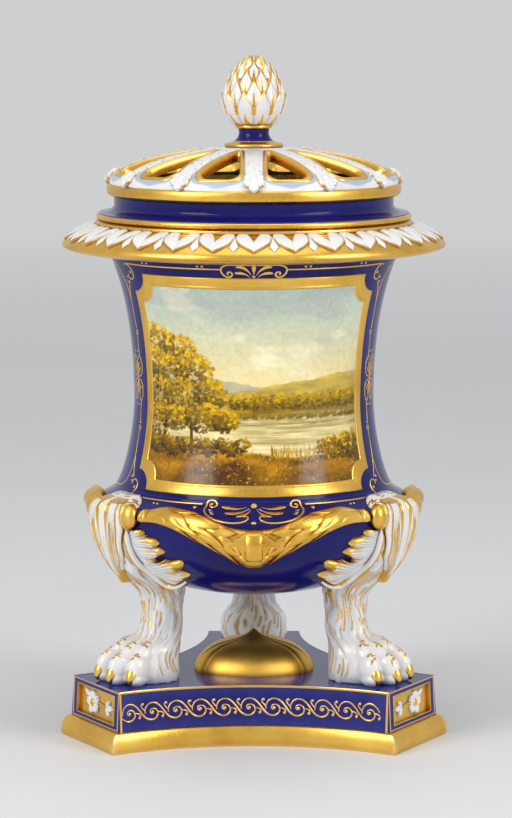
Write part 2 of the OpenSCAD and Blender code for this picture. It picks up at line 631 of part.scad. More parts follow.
// Leaf sprays at the feet of the straps
module cover_leaves() {
    rows = 4;
    pitch = 360 / opening_count;
    low_r = dome_r - 0.4;
    high_r = opening_out_r - 3;
    function place(t, a, out) = let (r = high_r + (low_r - high_r) * t, z = dome_height(r, dome_r, dome_h))
        [each polar(r + out * (0.5 + 0.4 * t), a), z + out * (0.85 - 0.5 * t)];
    function row(i, crown) = let (t = i / rows, half = 2 + 3.4 * sin(180 * t))
        [for (v = [-1, 0, 1]) place(t, v * half, 2 * gap + crown * (1 - 0.6 * v * v) * sin(25 + 150 * t))];
    color("white") for (k = [0:opening_count - 1]) rotate(k * pitch - 90)
        sheet([for (i = [0:rows]) row(i, 1.8)], [for (i = [0:rows]) row(i, 0)]);
}

// Finial: collar, stem and bud
collar_z = dome_height(collar_r + 0.3, dome_r, dome_h);
stem_z = collar_z + collar_h;
bud_z = stem_z + stem_h;

module finial_collar() {
    color("goldenrod") turned(concat([[0, collar_z]],
        [for (a = [-90:15:90]) [collar_r - collar_h * 0.3 + collar_h * 0.3 * cos(a),
                                collar_z + collar_h * 0.3 * (1 + sin(a))]],
        [[stem_r + 2.2, stem_z], [0, stem_z]]));
}

module finial_stem() {
    color("midnightblue") turned(concat([[0, stem_z]],
        curve([[stem_r + 2, stem_z], [stem_r - 0.4, stem_z + stem_h * 0.3],
               [stem_r - 0.4, stem_z + stem_h * 0.7], [stem_r + 0.8, bud_z]], 8),
        [[0, bud_z]]));
}

// Bud of overlapping scales: egg outline, raised where a scale's tip lies over the next row
bud_wide = 0.38;
function bud_radius(t) = t < bud_wide
    ? bud_r - (bud_r - stem_r - 0.8) * pow((bud_wide - t) / bud_wide, 2.7)
    : bud_r * pow(1 - pow(min(1, (t - bud_wide) / (0.995 - bud_wide)), 1.6), 0.65) + 0.4;
function scale_lift(t, a) =
    let (row = t * scale_rows, i = floor(row), s = row - i,
         turn = a * scale_count / 360 + (i % 2) / 2, c = 2 * abs(turn - floor(turn) - 0.5))
    0.8 * (1 - c * c) * (0.35 + 0.65 * s) * min(1, 6 * t) * min(1, 4 * (1 - t));

module finial_bud() {
    rows = 20;
    cols = scale_count * 4;
    color("white") loft([for (i = [0:rows]) let (t = i / rows)
        [for (j = [0:cols - 1]) let (a = 360 * j / cols)
            [each polar(bud_radius(t) + scale_lift(min(t, 0.999), a), a), bud_z + bud_h * t]]]);
}

plinth();
foot_moulding();
plinth_boss();
flower(left_az, -1);  // flower_left
flower(right_az, 1);  // flower_right
flower(back_az, 1);  // flower_back
leg(left_az);  // leg_left
leg(right_az);  // leg_right
leg(back_az);  // leg_back
knee_leaf(left_az);  // knee_leaf_left
knee_leaf(right_az);  // knee_leaf_right
knee_leaf(back_az);  // knee_leaf_back
side_leaves(left_az);  // side_leaves_left
side_leaves(right_az);  // side_leaves_right
side_leaves(back_az);  // side_leaves_back
knobs(left_az);  // knobs_left
knobs(right_az);  // knobs_right
knobs(back_az);  // knobs_back
garland(front_side);  // garland_front
garland(right_side);  // garland_right
garland(left_side);  // garland_left
bowl();
body_wall();
rim();
rim_leaves();
neck_ring();
neck();
cover_rim();
cover_dome();
cover_leaves();
finial_collar();
finial_stem();
finial_bud();
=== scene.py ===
import math

import bpy
import numpy as np
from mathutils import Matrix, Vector


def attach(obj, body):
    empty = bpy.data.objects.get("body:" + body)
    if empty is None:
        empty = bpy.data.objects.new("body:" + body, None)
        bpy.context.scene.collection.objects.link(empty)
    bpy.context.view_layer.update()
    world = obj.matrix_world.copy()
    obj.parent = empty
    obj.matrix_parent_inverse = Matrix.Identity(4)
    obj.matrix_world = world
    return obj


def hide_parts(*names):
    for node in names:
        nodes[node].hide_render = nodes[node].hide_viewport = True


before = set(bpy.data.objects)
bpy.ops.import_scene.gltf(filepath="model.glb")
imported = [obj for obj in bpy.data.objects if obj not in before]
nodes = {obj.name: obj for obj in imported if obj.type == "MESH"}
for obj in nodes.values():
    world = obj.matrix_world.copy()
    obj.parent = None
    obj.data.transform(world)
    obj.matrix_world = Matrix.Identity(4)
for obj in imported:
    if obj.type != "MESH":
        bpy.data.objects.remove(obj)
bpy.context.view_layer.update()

# Sizes are in millimetres, from the CAD; a piece is turned into metres when it is built.
MM = 0.001
WALL = 4.0
PLINTH_H, MOULDING_H, CORNER_DIST, CORNER_W = 27.0, 9.2, 80.8, 43.4
SIDE_HOLLOW, MOULDING_OUT, MOULDING_SIDE_OUT = 16.0, 4.3, 2.3
BATTER_OUT = (PLINTH_H - MOULDING_H) * math.tan(math.radians(3))
PANEL_W, PANEL_H, PANEL_DEPTH = 34.8, 12.6, 1.6
BOWL_Z, BOWL_WIDE_Z, BODY_Z, WAIST_Z, RIM_Z, RIM_WIDE_Z = 63.8, 103.0, 112.2, 150.0, 215.8, 220.0
RING_Z, NECK_Z, COVER_Z, DOME_Z, COLLAR_Z = 229.0, 234.0, 241.8, 247.4, 263.307
BOWL_R, BOWL_FOOT_R, FOOT_R, WAIST_R, TOP_R = 72.5, 19.5, 62.0, 54.0, 64.7
RIM_R, RING_R, NECK_R, MOUTH_R, COVER_R, DOME_R, DOME_H = 86.0, 70.6, 62.7, 58.7, 66.0, 64.8, 16.4
COLLAR_R, STEM_R, STEM_Z, BUD_Z, BUD_H, BUD_R = 13.2, 6.7, COLLAR_Z + 2.8, 272.307, 32.6, 14.2
KNEE_REACH, KNEE_W, KNEE_Z = 76.0, 30.4, 104.0
LEG_AZ = {"left": 210, "right": 330, "back": 90}
SIDE_AZ = {"front": 270, "right": 30, "left": 150}
FRONT = -90
HOLLOW_HALF = CORNER_DIST * math.cos(math.radians(30)) - CORNER_W / 4
HOLLOW_CHORD = CORNER_DIST / 2 + CORNER_W / 2 * math.cos(math.radians(30))
HOLLOW_R = (HOLLOW_HALF ** 2 + SIDE_HOLLOW ** 2) / (2 * SIDE_HOLLOW)
HOLLOW_DIST = HOLLOW_CHORD - SIDE_HOLLOW + HOLLOW_R


# Numbers and lines

def smooth(x, low=0.0, high=1.0):
    t = np.clip((np.asarray(x, float) - low) / (high - low), 0, 1)
    return t * t * (3 - 2 * t)


def lattice(ix, iy, iz, seed):
    """Repeatable number from 0 to 1 at each whole point of a grid."""
    h = (ix.astype(np.int64) * 374761393 + iy.astype(np.int64) * 668265263 + iz.astype(np.int64) * 2147483647
         + seed * 974634541) & 0xFFFFFFFF
    h = ((h ^ (h >> 13)) * 1274126177) & 0xFFFFFFFF
    h = ((h ^ (h >> 16)) * 2246822519) & 0xFFFFFFFF
    return (h & 0xFFFFFF) / float(0xFFFFFF)


def spread(*values):
    """The values as arrays of one common shape."""
    return np.broadcast_arrays(*(np.asarray(v, float) for v in values))


def noise(x, y=0.0, z=0.0, seed=0):
    """Smooth noise from 0 to 1."""
    x, y, z = spread(x, y, z)
    fx, fy, fz = np.floor(x), np.floor(y), np.floor(z)
    tx, ty, tz = (smooth(a - b) for a, b in ((x, fx), (y, fy), (z, fz)))
    total = 0.0
    for dx in (0, 1):
        for dy in (0, 1):
            for dz in (0, 1):
                w = (tx if dx else 1 - tx) * (ty if dy else 1 - ty) * (tz if dz else 1 - tz)
                total = total + w * lattice(fx + dx, fy + dy, fz + dz, seed)
    return total


def near(x, at, half, soft):
    """1 on a line of the given half width, fading over soft."""
    return 1 - smooth(np.abs(np.asarray(x) - at), half, half + soft)


def bell(x, width):
    """Soft bump of height 1 about 0."""
    return np.exp(-(x / width) ** 2)


def arch(x):
    """1 at 0, rounding down to 0 at 1."""
    return np.sqrt(np.maximum(0, 1 - x))


def past(x, start, span):
    """How many spans x lies past the start; 0 before it."""
    return np.maximum(0, (x - start) / span)


def grid(rows, cols, low=-1.0):
    """A column that runs from 0 to 1, and a row that runs from low to 1."""
    return np.linspace(0, 1, rows)[:, None], np.linspace(low, 1, cols)[None, :]


def fractal(x, y=0.0, z=0.0, seed=0, octaves=4):
    """Noise in layers, each half the size of the last."""
    total, amount, size = 0.0, 0.5, 1.0
    for k in range(octaves):
        total = total + amount * noise(np.asarray(x) * size, np.asarray(y) * size, np.asarray(z) * size, seed + k)
        amount, size = amount / 2, size * 2
    return total / (1 - 0.5 ** octaves)


def bezier(points, steps):
    t = np.linspace(0, 1, steps + 1)[:, None]
    p = np.asarray(points, float)
    return (1 - t) ** 3 * p[0] + 3 * t * (1 - t) ** 2 * p[1] + 3 * t * t * (1 - t) * p[2] + t ** 3 * p[3]


def resample(points, count, closed=False):
    """The same line with its points evenly spaced."""
    p = np.asarray(points, float)
    if closed:
        p = np.vstack([p, p[:1]])
    length = np.concatenate([[0], np.cumsum(np.linalg.norm(np.diff(p, axis=0), axis=1))])
    at = np.linspace(0, length[-1], count, endpoint=not closed)
    return np.stack([np.interp(at, length, p[:, k]) for k in range(p.shape[1])], -1)


def rounded(points, steps):
    """Smooth line through a list of points."""
    p = np.asarray(points, float)
    ends = np.vstack([2 * p[0] - p[1], p, 2 * p[-1] - p[-2]])
    out = []
    for i in range(1, len(ends) - 2):
        a, b, c, d = ends[i - 1:i + 3]
        for t in np.linspace(0, 1, steps, endpoint=False):
            out.append(0.5 * (2 * b + (c - a) * t + (2 * a - 5 * b + 4 * c - d) * t * t
                              + (3 * b - a - 3 * c + d) * t ** 3))
    return np.vstack(out + [p[-1]])


def polar(r, degrees):
    a = np.radians(degrees)
    return np.stack(np.broadcast_arrays(r * np.cos(a), r * np.sin(a)), -1)


def raised(plan, z):
    """Plan points [x, y] with their heights."""
    return np.concatenate([plan, np.broadcast_to(z, plan.shape[:-1])[..., None]], -1)


def turn(points, degrees):
    """Points turned about the vertical axis."""
    a = math.radians(degrees)
    p = np.asarray(points, float)
    out = p.copy()
    out[..., 0] = p[..., 0] * math.cos(a) - p[..., 1] * math.sin(a)
    out[..., 1] = p[..., 0] * math.sin(a) + p[..., 1] * math.cos(a)
    return out


# Meshes

def set_values(mesh, key, data):
    """Point values on a mesh: a number for each point, or a colour."""
    if data.ndim == 2:
        colours = np.column_stack([data, np.ones(len(data))]).astype(np.float32)
        mesh.attributes.new(key, "FLOAT_COLOR", "POINT").data.foreach_set("color", colours.ravel())
    else:
        mesh.attributes.new(key, "FLOAT", "POINT").data.foreach_set("value", data.astype(np.float32))


class Shape:
    """Patches of points that become one mesh. A patch is an array [row, column, xyz]; its outer
    side is where the columns run anticlockwise when the rows run up. Named values go with each point;
    a value that a patch leaves out is 0."""

    def __init__(self):
        self.points, self.quads, self.values, self.count = [], [], [], 0

    def patch(self, p, close_cols=False, flip=False, **values):
        p = np.asarray(p, float)
        m, n = p.shape[:2]
        index = np.arange(m * n).reshape(m, n) + self.count
        if close_cols:
            index = np.hstack([index, index[:, :1]])
        corners = [index[:-1, :-1], index[:-1, 1:], index[1:, 1:], index[1:, :-1]]
        if flip:
            corners = corners[::-1]
        self.quads.append(np.stack(corners, -1).reshape(-1, 4))
        self.points.append(p.reshape(-1, 3))
        self.values.append({k: np.broadcast_to(np.asarray(v, float), (m, n) + np.shape(v)[2:]).reshape(
            (m * n,) + np.shape(v)[2:]) for k, v in values.items()})
        self.count += m * n
        return self

    def build(self, name, material, body="vase", replaces=(), slot=None, sharp=None, keep=None):
        points, quads = np.concatenate(self.points), np.concatenate(self.quads)
        if keep is not None:
            quads = quads[keep(points[quads].mean(1))]
        mesh = bpy.data.meshes.new(name)
        mesh.vertices.add(len(points))
        mesh.vertices.foreach_set("co", (points * MM).astype(np.float32).ravel())
        mesh.loops.add(quads.size)
        mesh.loops.foreach_set("vertex_index", quads.astype(np.int32).ravel())
        mesh.polygons.add(len(quads))
        mesh.polygons.foreach_set("loop_start", np.arange(0, quads.size, 4, dtype=np.int32))
        mesh.polygons.foreach_set("use_smooth", np.ones(len(quads), bool))
        for key in sorted({k for v in self.values for k in v}):
            parts = [v.get(key) for v in self.values]
            wide = next(a.shape[1:] for a in parts if a is not None)
            set_values(mesh, key, np.concatenate([
                np.zeros((len(p),) + wide) if a is None else a for a, p in zip(parts, self.points)]))
        mesh.update(calc_edges=True)
        mesh.validate()
        if sharp is not None:
            mesh.set_sharp_from_angle(angle=math.radians(sharp))
        return place(mesh, name, material, body, replaces)


def place(mesh, name, material, body, replaces):
    """Put a mesh in the scene, on its body, for the nodes that it stands for."""
    obj = bpy.data.objects.new(name, mesh)
    bpy.context.scene.collection.objects.link(obj)
    if material is not None:
        mesh.materials.clear()
        mesh.materials.append(material)
    if body is None:
        return obj
    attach(obj, body)
    if replaces:
        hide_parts(*([replaces] if isinstance(replaces, str) else replaces))
    return obj


def lathe(outline, steps):
    """Patch turned about the axis from [radius, height] points that run up the outside."""
    o = np.asarray(outline, float)
    a = np.arange(steps) * 360.0 / steps
    return raised(polar(np.maximum(o[:, :1], 0.01), a[None, :]), o[:, 1:])


def turned(name, outline, material, slot, node, body="vase", steps=360):
    """A turned piece that stands for a node."""
    return Shape().patch(lathe(outline, steps), close_cols=True).build(name, material, body, node, slot, 40)


def ribbon(line, normals, width, height, around=7, taper=None):
    """Low round strip along a line on a surface: a gilt line or bar in slight relief."""
    line, normals = np.asarray(line, float), np.asarray(normals, float)
    along = np.gradient(line, axis=0)
    across = np.cross(normals, along)
    across /= np.maximum(np.linalg.norm(across, axis=1, keepdims=True), 1e-9)
    size = np.ones(len(line)) if taper is None else np.asarray(taper, float)
    s = np.linspace(-1, 1, around)
    rise = arch(s ** 2) * height - 0.03
    return (line[:, None] - across[:, None] * (s[None, :, None] * width / 2 * size[:, None, None])
            + normals[:, None] * (rise[None, :, None] * (0.4 + 0.6 * size[:, None, None])))


# Materials


class Surface:
    """A node material. Constant values go straight onto the shader's sockets."""

    def __init__(self, name):
        self.material = bpy.data.materials.new(name)
        self.material.use_nodes = True
        self.tree = self.material.node_tree
        self.shader = self.tree.nodes["Principled BSDF"]
        self.result = self.tree.nodes["Material Output"].inputs["Surface"]
        self.place = self.node("ShaderNodeTexCoord", out="Object")

    def set(self, socket, value):
        if isinstance(value, bpy.types.NodeSocket):
            self.tree.links.new(value, socket)
        else:
            socket.default_value = value

    def node(self, kind, inputs=None, out=0, **settings):
        n = self.tree.nodes.new(kind)
        for key, value in settings.items():
            setattr(n, key, value)
        for key, value in (inputs or {}).items():
            self.set(n.inputs[key], value)
        return n.outputs[out]

    def noise(self, scale, detail=4.0, rough=0.55, stretch=None, distortion=0.0):
        where = self.place
        if stretch:
            where = self.node("ShaderNodeVectorMath", {0: where, 1: stretch}, operation="MULTIPLY")
        return self.node("ShaderNodeTexNoise", {"Vector": where, "Scale": scale, "Detail": detail,
                                                "Roughness": rough, "Distortion": distortion}, "Fac")

    def ramp(self, value, *stops):
        n = self.tree.nodes.new("ShaderNodeValToRGB")
        while len(n.color_ramp.elements) < len(stops):
            n.color_ramp.elements.new(0.5)
        for element, (at, colour) in zip(n.color_ramp.elements, stops):
            element.position = at
            element.color = (*colour, 1) if isinstance(colour, tuple) else (colour, colour, colour, 1)
        self.set(n.inputs[0], value)
        return n.outputs[0]

    def math(self, operation, a, b=0.0, clamp=False):
        return self.node("ShaderNodeMath", {0: a, 1: b}, operation=operation, use_clamp=clamp)

    def total(self, *terms):
        """Sum of values; a pair is a value and its weight."""
        parts = [self.math("MULTIPLY", *k) if isinstance(k, tuple) else k for k in terms]
        out = parts[0]
        for part in parts[1:]:
            out = self.math("ADD", out, part)
        return out

    def mix(self, share, a, b, kind="MIX"):
        n = self.tree.nodes.new("ShaderNodeMix")
        n.data_type, n.blend_type = "RGBA", kind
        for socket, value in ((n.inputs[0], share), (n.inputs[6], a), (n.inputs[7], b)):
            self.set(socket, (*value, 1) if isinstance(value, tuple) and len(value) == 3 else value)
        return n.outputs[2]

    def value(self, name, out="Fac"):
        """A named point value."""
        return self.node("ShaderNodeAttribute", out=out, attribute_name=name)

    def edge(self, low=0.51, high=0.56):
        """How far a point stands out as an edge."""
        return self.ramp(self.node("ShaderNodeNewGeometry", out="Pointiness"), (low, 0.0), (high, 1.0))

    def hollow(self, distance, low=0.30, high=0.84):
        """How far a point lies in a recess."""
        opened = self.node("ShaderNodeAmbientOcclusion", {"Distance": distance}, "AO", samples=10)
        return self.ramp(opened, (low, 1.0), (high, 0.0))

    def bump(self, height, strength, distance=0.0005):
        return self.node("ShaderNodeBump", {"Height": height, "Strength": strength, "Distance": distance})

    def principled(self, **inputs):
        return self.fill(self.tree.nodes.new("ShaderNodeBsdfPrincipled"), **inputs)

    def fill(self, shader, **inputs):
        for key, value in inputs.items():
            socket = shader.inputs[key.replace("_", " ").title().replace("Ior", "IOR")]
            self.set(socket, (*value, 1) if isinstance(value, tuple) and len(value) == 3 else value)
        return shader


def gilding(surface, shader, wear=0.5, satin=0.10):
    """Burnished gold over glaze: uneven tone, faint brushing, painted brown shade in the recesses, bright worn edges.
    """
    broad, fine = surface.noise(45, 5, 0.6), surface.noise(900, 3, 0.6, (1, 1, 0.25))
    tone = surface.ramp(broad, (0.3, (0.74, 0.415, 0.065)), (0.55, (0.87, 0.53, 0.095)), (0.75, (0.94, 0.63, 0.15)))
    # painted shade: the gold turns brown where its surface lies in a recess
    tone = surface.mix(surface.math("MULTIPLY", surface.hollow(0.004), 0.75), tone, (0.30, 0.125, 0.018))
    tone = surface.mix(surface.math("MULTIPLY", surface.edge(), wear), tone, (0.97, 0.75, 0.34))
    surface.fill(shader, base_color=tone, metallic=1.0, roughness=surface.total((fine, 0.16), (broad, 0.24), satin),
                 normal=surface.bump(surface.total((fine, 0.12), broad), 0.08, 0.0006))
    return shader


def make_gold(name="burnished_gold", **settings):
    s = Surface(name)
    gilding(s, s.shader, **settings)
    return s.material


def make_cobalt():
    s = Surface("cobalt_glaze")
    pool, speck = s.noise(28, 6, 0.62, distortion=0.4), s.noise(520, 2, 0.5)
    tone = s.ramp(pool, (0.30, (0.0055, 0.0055, 0.085)), (0.55, (0.0095, 0.0095, 0.135)),
                  (0.78, (0.016, 0.017, 0.185)))
    tone = s.mix(s.ramp(speck, (0.62, 0.0), (0.80, 0.5)), tone, (0.022, 0.025, 0.22))
    tone = s.mix(s.math("MULTIPLY", s.edge(0.52, 0.60), 0.55), tone, (0.05, 0.06, 0.30))
    s.fill(s.shader, base_color=tone, roughness=s.total((pool, 0.12), (speck, 0.06), 0.035), specular_ior_level=0.2,
           ior=1.5, normal=s.bump(s.total(pool, (s.noise(160, 2), 0.25)), 0.10, 0.0009))
    return s.material


def make_porcelain():
    """White glaze with grey-blue painted shade in its recesses; point values add pale blue (paint, and painted shade),
    umber (brown enamel) and gilt.
    """
    s = Surface("white_porcelain")
    pool, fine = s.noise(38, 5, 0.6), s.noise(420, 3, 0.55)
    white = s.ramp(pool, (0.30, (0.74, 0.745, 0.75)), (0.52, (0.83, 0.822, 0.798)), (0.75, (0.86, 0.845, 0.805)))
    # painted shade: the white turns grey-blue where its surface lies in a recess
    white = s.mix(s.math("MULTIPLY", s.hollow(0.006, 0.30, 0.92), 0.45), white, (0.44, 0.47, 0.56))
    # pale blue: paint in the bands round the dome's openings, painted shade on the leaves, flowers, bud and legs
    white = s.mix(s.value("tint"), white, (0.30, 0.43, 0.62))
    white = s.mix(s.value("umber"), white, s.ramp(fine, (0.3, (0.38, 0.205, 0.026)), (0.7, (0.56, 0.355, 0.060))))
    s.fill(s.shader, base_color=white, roughness=s.total((fine, 0.10), (pool, 0.10), 0.08), coat_weight=0.15,
           coat_roughness=0.08, ior=1.5, normal=s.bump(s.total(pool, (fine, 0.2)), 0.12, 0.0007))
    gold = gilding(s, s.principled())
    worn = s.total(s.value("gilt"), (s.math("SUBTRACT", s.noise(700, 3), 0.5), 0.55))
    share = s.ramp(worn, (0.42, 0.0), (0.58, 1.0))
    s.set(s.result, s.node("ShaderNodeMixShader", {0: share, 1: s.shader.outputs[0], 2: gold.outputs[0]}))
    return s.material


def make_paint():
    """Enamel painting under a clear gloss; its colours are point values."""
    s = Surface("enamel_painting")
    fleck, brush = s.noise(650, 4, 0.6), s.noise(260, 3, 0.6, (1, 1, 2.2))
    tone = s.mix(0.30, s.value("paint", "Color"), s.ramp(fleck, (0.3, 0.72), (0.7, 1.0)), "MULTIPLY")
    s.fill(s.shader, base_color=tone, roughness=s.total((brush, 0.16), 0.12), coat_weight=0.12, coat_roughness=0.08,
           specular_ior_level=0.3, ior=1.5, normal=s.bump(s.total(fleck, brush), 0.10, 0.0005))
    return s.material


def make_enamel():
    """Brown enamel of the small strokes on the dome."""
    s = Surface("umber_enamel")
    fleck = s.noise(800, 3)
    s.fill(s.shader, base_color=s.ramp(fleck, (0.3, (0.20, 0.115, 0.055)), (0.7, (0.38, 0.24, 0.12))),
           roughness=s.total((fleck, 0.2), 0.2), normal=s.bump(fleck, 0.1))
    return s.material


COBALT, GOLD, WHITE, PAINT = make_cobalt(), make_gold(), make_porcelain(), make_paint()


# Outlines of the turned pieces

BOWL_POWER, DOME_POWER = 2.2, 1.85


def bowl_radius(z):
    z, k = np.asarray(z, float), BOWL_POWER
    depth = (BOWL_WIDE_Z - BOWL_Z) / (1 - (BOWL_FOOT_R / BOWL_R) ** k) ** (1 / k)
    low = BOWL_R * np.maximum(0, 1 - ((BOWL_WIDE_Z - np.clip(z, BOWL_Z, BOWL_WIDE_Z)) / depth) ** k) ** (1 / k)
    share = np.clip((z - BOWL_WIDE_Z) / (BODY_Z - BOWL_WIDE_Z), 0, 1)
    high = FOOT_R + (BOWL_R - FOOT_R) * (1 + np.cos(np.pi * share)) / 2
    return np.where(z >= BOWL_WIDE_Z, high, low)


BODY_LINE = np.vstack([bezier([(FOOT_R, BODY_Z), (59.04, 116.74), (54.6, 132.99), (WAIST_R, WAIST_Z)], 60),
                       bezier([(WAIST_R, WAIST_Z), (WAIST_R, 173.03), (56.35, 196.06), (TOP_R, RIM_Z)], 90)[1:]])
RIM_TOP = bezier([(70.2, RING_Z), (76.52, RING_Z), (RIM_R, 223.06), (RIM_R, RIM_WIDE_Z)], 60)
RIM_UNDER = bezier([(RIM_R, RIM_WIDE_Z), (RIM_R, 217.9), (77.05, 216.81), (TOP_R, RIM_Z)], 50)


def dome_height(r, radius=DOME_R, height=DOME_H):
    k = DOME_POWER
    return DOME_Z + height * np.maximum(0, 1 - (np.asarray(r, float) / radius) ** k) ** (1 / k)


BUD_WIDE, BUD_SWELL = 0.38, 0.4


def bud_radius(t):
    """Radius of the bud at a share of its height."""
    t = np.asarray(t, float)
    low = (BUD_R - (BUD_R - STEM_R - 0.8) * np.maximum(0, (BUD_WIDE - t) / BUD_WIDE) ** 2.7
           + BUD_SWELL * smooth(t, 0.0, BUD_WIDE))
    high = BUD_R * np.maximum(0, 1 - past(t, BUD_WIDE, 0.615) ** 1.6) ** 0.65 + BUD_SWELL
    return np.where(t < BUD_WIDE, low, high)


# Turned pieces

def walled(outside, inside):
    """Outline of a hollow piece: its outside run up, its inside back down, closed over the edges."""
    return np.vstack([outside, inside[::-1], outside[:1]])


def bowl_lines():
    z = np.concatenate([BOWL_Z + (BOWL_WIDE_Z - BOWL_Z) * (1 - np.cos(np.linspace(0, np.pi / 2, 70))),
                        np.linspace(BOWL_WIDE_Z, BODY_Z, 30)[1:]])
    outside = np.column_stack([bowl_radius(z), z])
    inside = outside.copy()
    inside[:, 1] = np.maximum(inside[:, 1], BOWL_Z + WALL)
    inside[:, 0] = np.maximum(inside[:, 0] - WALL, 0.5)
    return np.vstack([[[0, BOWL_Z]], outside]), np.vstack([[[0, BOWL_Z + WALL]], inside])


def make_turned():
    turned("bowl_glaze", walled(*bowl_lines()), COBALT, "cobalt_glaze", "bowl", steps=288)
    turned("body_glaze", walled(BODY_LINE, BODY_LINE - (WALL, 0)), COBALT, "cobalt_glaze", "body_wall", steps=288)

    bore = [[TOP_R - WALL, RIM_Z]]
    rim = np.vstack([bore, RIM_UNDER[::-1], RIM_TOP[::-1][1:], [[MOUTH_R, RING_Z]], bore])
    turned("rim_gilt", rim, GOLD, "gilding", "rim")

    bead_r = 1.3
    bead = np.array([(RING_R - bead_r + bead_r * math.cos(a), NECK_Z - bead_r + bead_r * math.sin(a))
                     for a in np.radians(np.arange(-85, 91, 7))])
    fillet = np.array([(-0.1, 0.0), (0.25, 0.1), (0.4, 0.4), (0.4, 1.3), (0.25, 1.6), (-0.1, 1.75), (-1.0, 2.3),
                       (-1.15, 2.4)])
    ring = np.vstack([[[MOUTH_R, RING_Z]], fillet + (RING_R, RING_Z), bead,
                      [[MOUTH_R, NECK_Z], [MOUTH_R, RING_Z]]])
    turned("neck_ring_gilt", ring, GOLD, "gilding", "neck_ring")

    foot, step, sweep = RING_R - 1.2, 0.4, 7.8 * 0.46
    flare = [(foot - (foot - NECK_R) * math.sin(a), NECK_Z + step + sweep * (1 - math.cos(a)))
             for a in np.radians(np.arange(0, 91, 5))]
    neck = np.vstack([[[MOUTH_R, NECK_Z], [foot, NECK_Z], [foot, NECK_Z + step]], flare,
                      [[NECK_R, COVER_Z - 0.3], [NECK_R - 0.3, COVER_Z], [MOUTH_R, COVER_Z], [MOUTH_R, NECK_Z]]])
    # the glaze runs down inside over the bores of the ring and the rim
    lining = np.array([(MOUTH_R + 0.05, NECK_Z + 0.5), (MOUTH_R - 0.15, NECK_Z + 0.3), (MOUTH_R - 0.15, RING_Z),
                       (TOP_R - WALL - 0.15, RIM_Z), (TOP_R - WALL + 0.05, RIM_Z - 0.3)])
    Shape().patch(lathe(neck, 360), close_cols=True).patch(lathe(lining, 360), close_cols=True).build(
        "neck_glaze", COBALT, "vase", "neck", "cobalt_glaze", 40)

    flange, flange_in, flange_z, seat = MOUTH_R - 0.5, MOUTH_R - 3.5, COVER_Z - 7, NECK_R - 0.4
    wide_z = COVER_Z + 3.08
    cover = np.vstack([
        [[flange_in, flange_z], [flange, flange_z], [flange, COVER_Z]],
        bezier([(seat, COVER_Z), (COVER_R, COVER_Z), (COVER_R, COVER_Z + 1.68), (COVER_R, wide_z)], 14),
        bezier([(COVER_R, wide_z), (COVER_R, DOME_Z - 0.7), (DOME_R + 0.5, DOME_Z), (DOME_R, DOME_Z)], 14)[1:],
        [[flange_in, DOME_Z], [flange_in, flange_z]]])
    turned("cover_rim_gilt", cover, GOLD, "gilding", "cover_rim", "cover")

    roll = 0.84
    collar = np.vstack([
        [[0, COLLAR_Z]],
        [(COLLAR_R - roll + roll * math.cos(a), COLLAR_Z + roll * (1 + math.sin(a)))
         for a in np.radians(np.arange(-90, 91, 15))],
        bezier([(COLLAR_R - 1.6, COLLAR_Z + 1.75), (STEM_R + 3.5, COLLAR_Z + 2.1), (STEM_R + 2.4, COLLAR_Z + 2.4),
                (STEM_R + 2.2, STEM_Z)], 8),
        [[0, STEM_Z]]])
    turned("finial_collar_gilt", collar, GOLD, "gilding", "finial_collar", "cover", 160)


make_turned()


# Gilding and painting on the body

SKIN_Z = np.linspace(84, BODY_Z, 90)
SKIN = np.vstack([np.column_stack([bowl_radius(SKIN_Z), SKIN_Z])[:-1], BODY_LINE])
SKIN_LENGTH = np.concatenate([[0], np.cumsum(np.linalg.norm(np.diff(SKIN, axis=0), axis=1))])
SKIN_LENGTH -= SKIN_LENGTH[len(SKIN_Z) - 1]
# mm to a degree, at a radius of 56
SKIN_MM = 56 * math.pi / 180


def on_skin(x, q, out=0.0):
    """Point on the wall: x is round it from the front, in mm at a radius of 56; q is up it from the seam."""
    x, q, out = spread(x, q, out)
    r, z = np.interp(q, SKIN_LENGTH, SKIN[:, 0]), np.interp(q, SKIN_LENGTH, SKIN[:, 1])
    dr = (np.interp(q + 0.4, SKIN_LENGTH, SKIN[:, 0]) - np.interp(q - 0.4, SKIN_LENGTH, SKIN[:, 0])) / 0.8
    dz = np.sqrt(np.maximum(1e-6, 1 - dr ** 2))
    return raised(polar(r + out * dz, 270 + x / SKIN_MM), z - out * dr)


class Gilt:
    """Gilt lines, drops and dots laid on a surface; where(x, y, out) gives its points."""

    def __init__(self, where):
        self.where, self.shape = where, Shape()

    def normal(self, x, y):
        n = self.where(x, y, 1.0) - self.where(x, y, 0.0)
        return n / np.linalg.norm(n, axis=-1, keepdims=True)

    def line(self, points, width=0.75, height=0.14, taper=None, steps=None, smooth_line=True):
        p = rounded(points, 6) if smooth_line else np.asarray(points, float)
        length = np.linalg.norm(np.diff(p, axis=0), axis=1).sum()
        x, y = resample(p, steps or max(6, int(length / 0.45))).T
        size = None if taper is None else taper(np.linspace(0, 1, len(x)))
        self.shape.patch(ribbon(self.where(x, y), self.normal(x, y), width, height, 7, size))

    def drop(self, points, width):
        """Petal that is thin at its first point and round at its last."""
        self.line(points, width, 0.16,
                  lambda t: (0.12 + 0.88 * smooth(t, 0, 0.75)) * arch(past(t, 0.72, 0.285) ** 2))

    def dot(self, x, y, r=0.6, height=0.2):
        a, k = np.linspace(0, 2 * np.pi, 17)[:-1], np.linspace(1, 0.02, 5)[:, None]
        rise = height * arch(k ** 2) - 0.03
        self.shape.patch(self.where(x + r * k * np.cos(a), y + r * k * np.sin(a), rise), close_cols=True)

    def mirror(self):
        """The same drawing tools, turned over left to right."""
        twin = Gilt(lambda x, y, out=0.0: self.where(-np.asarray(x), y, out))
        twin.shape = self.shape
        return twin


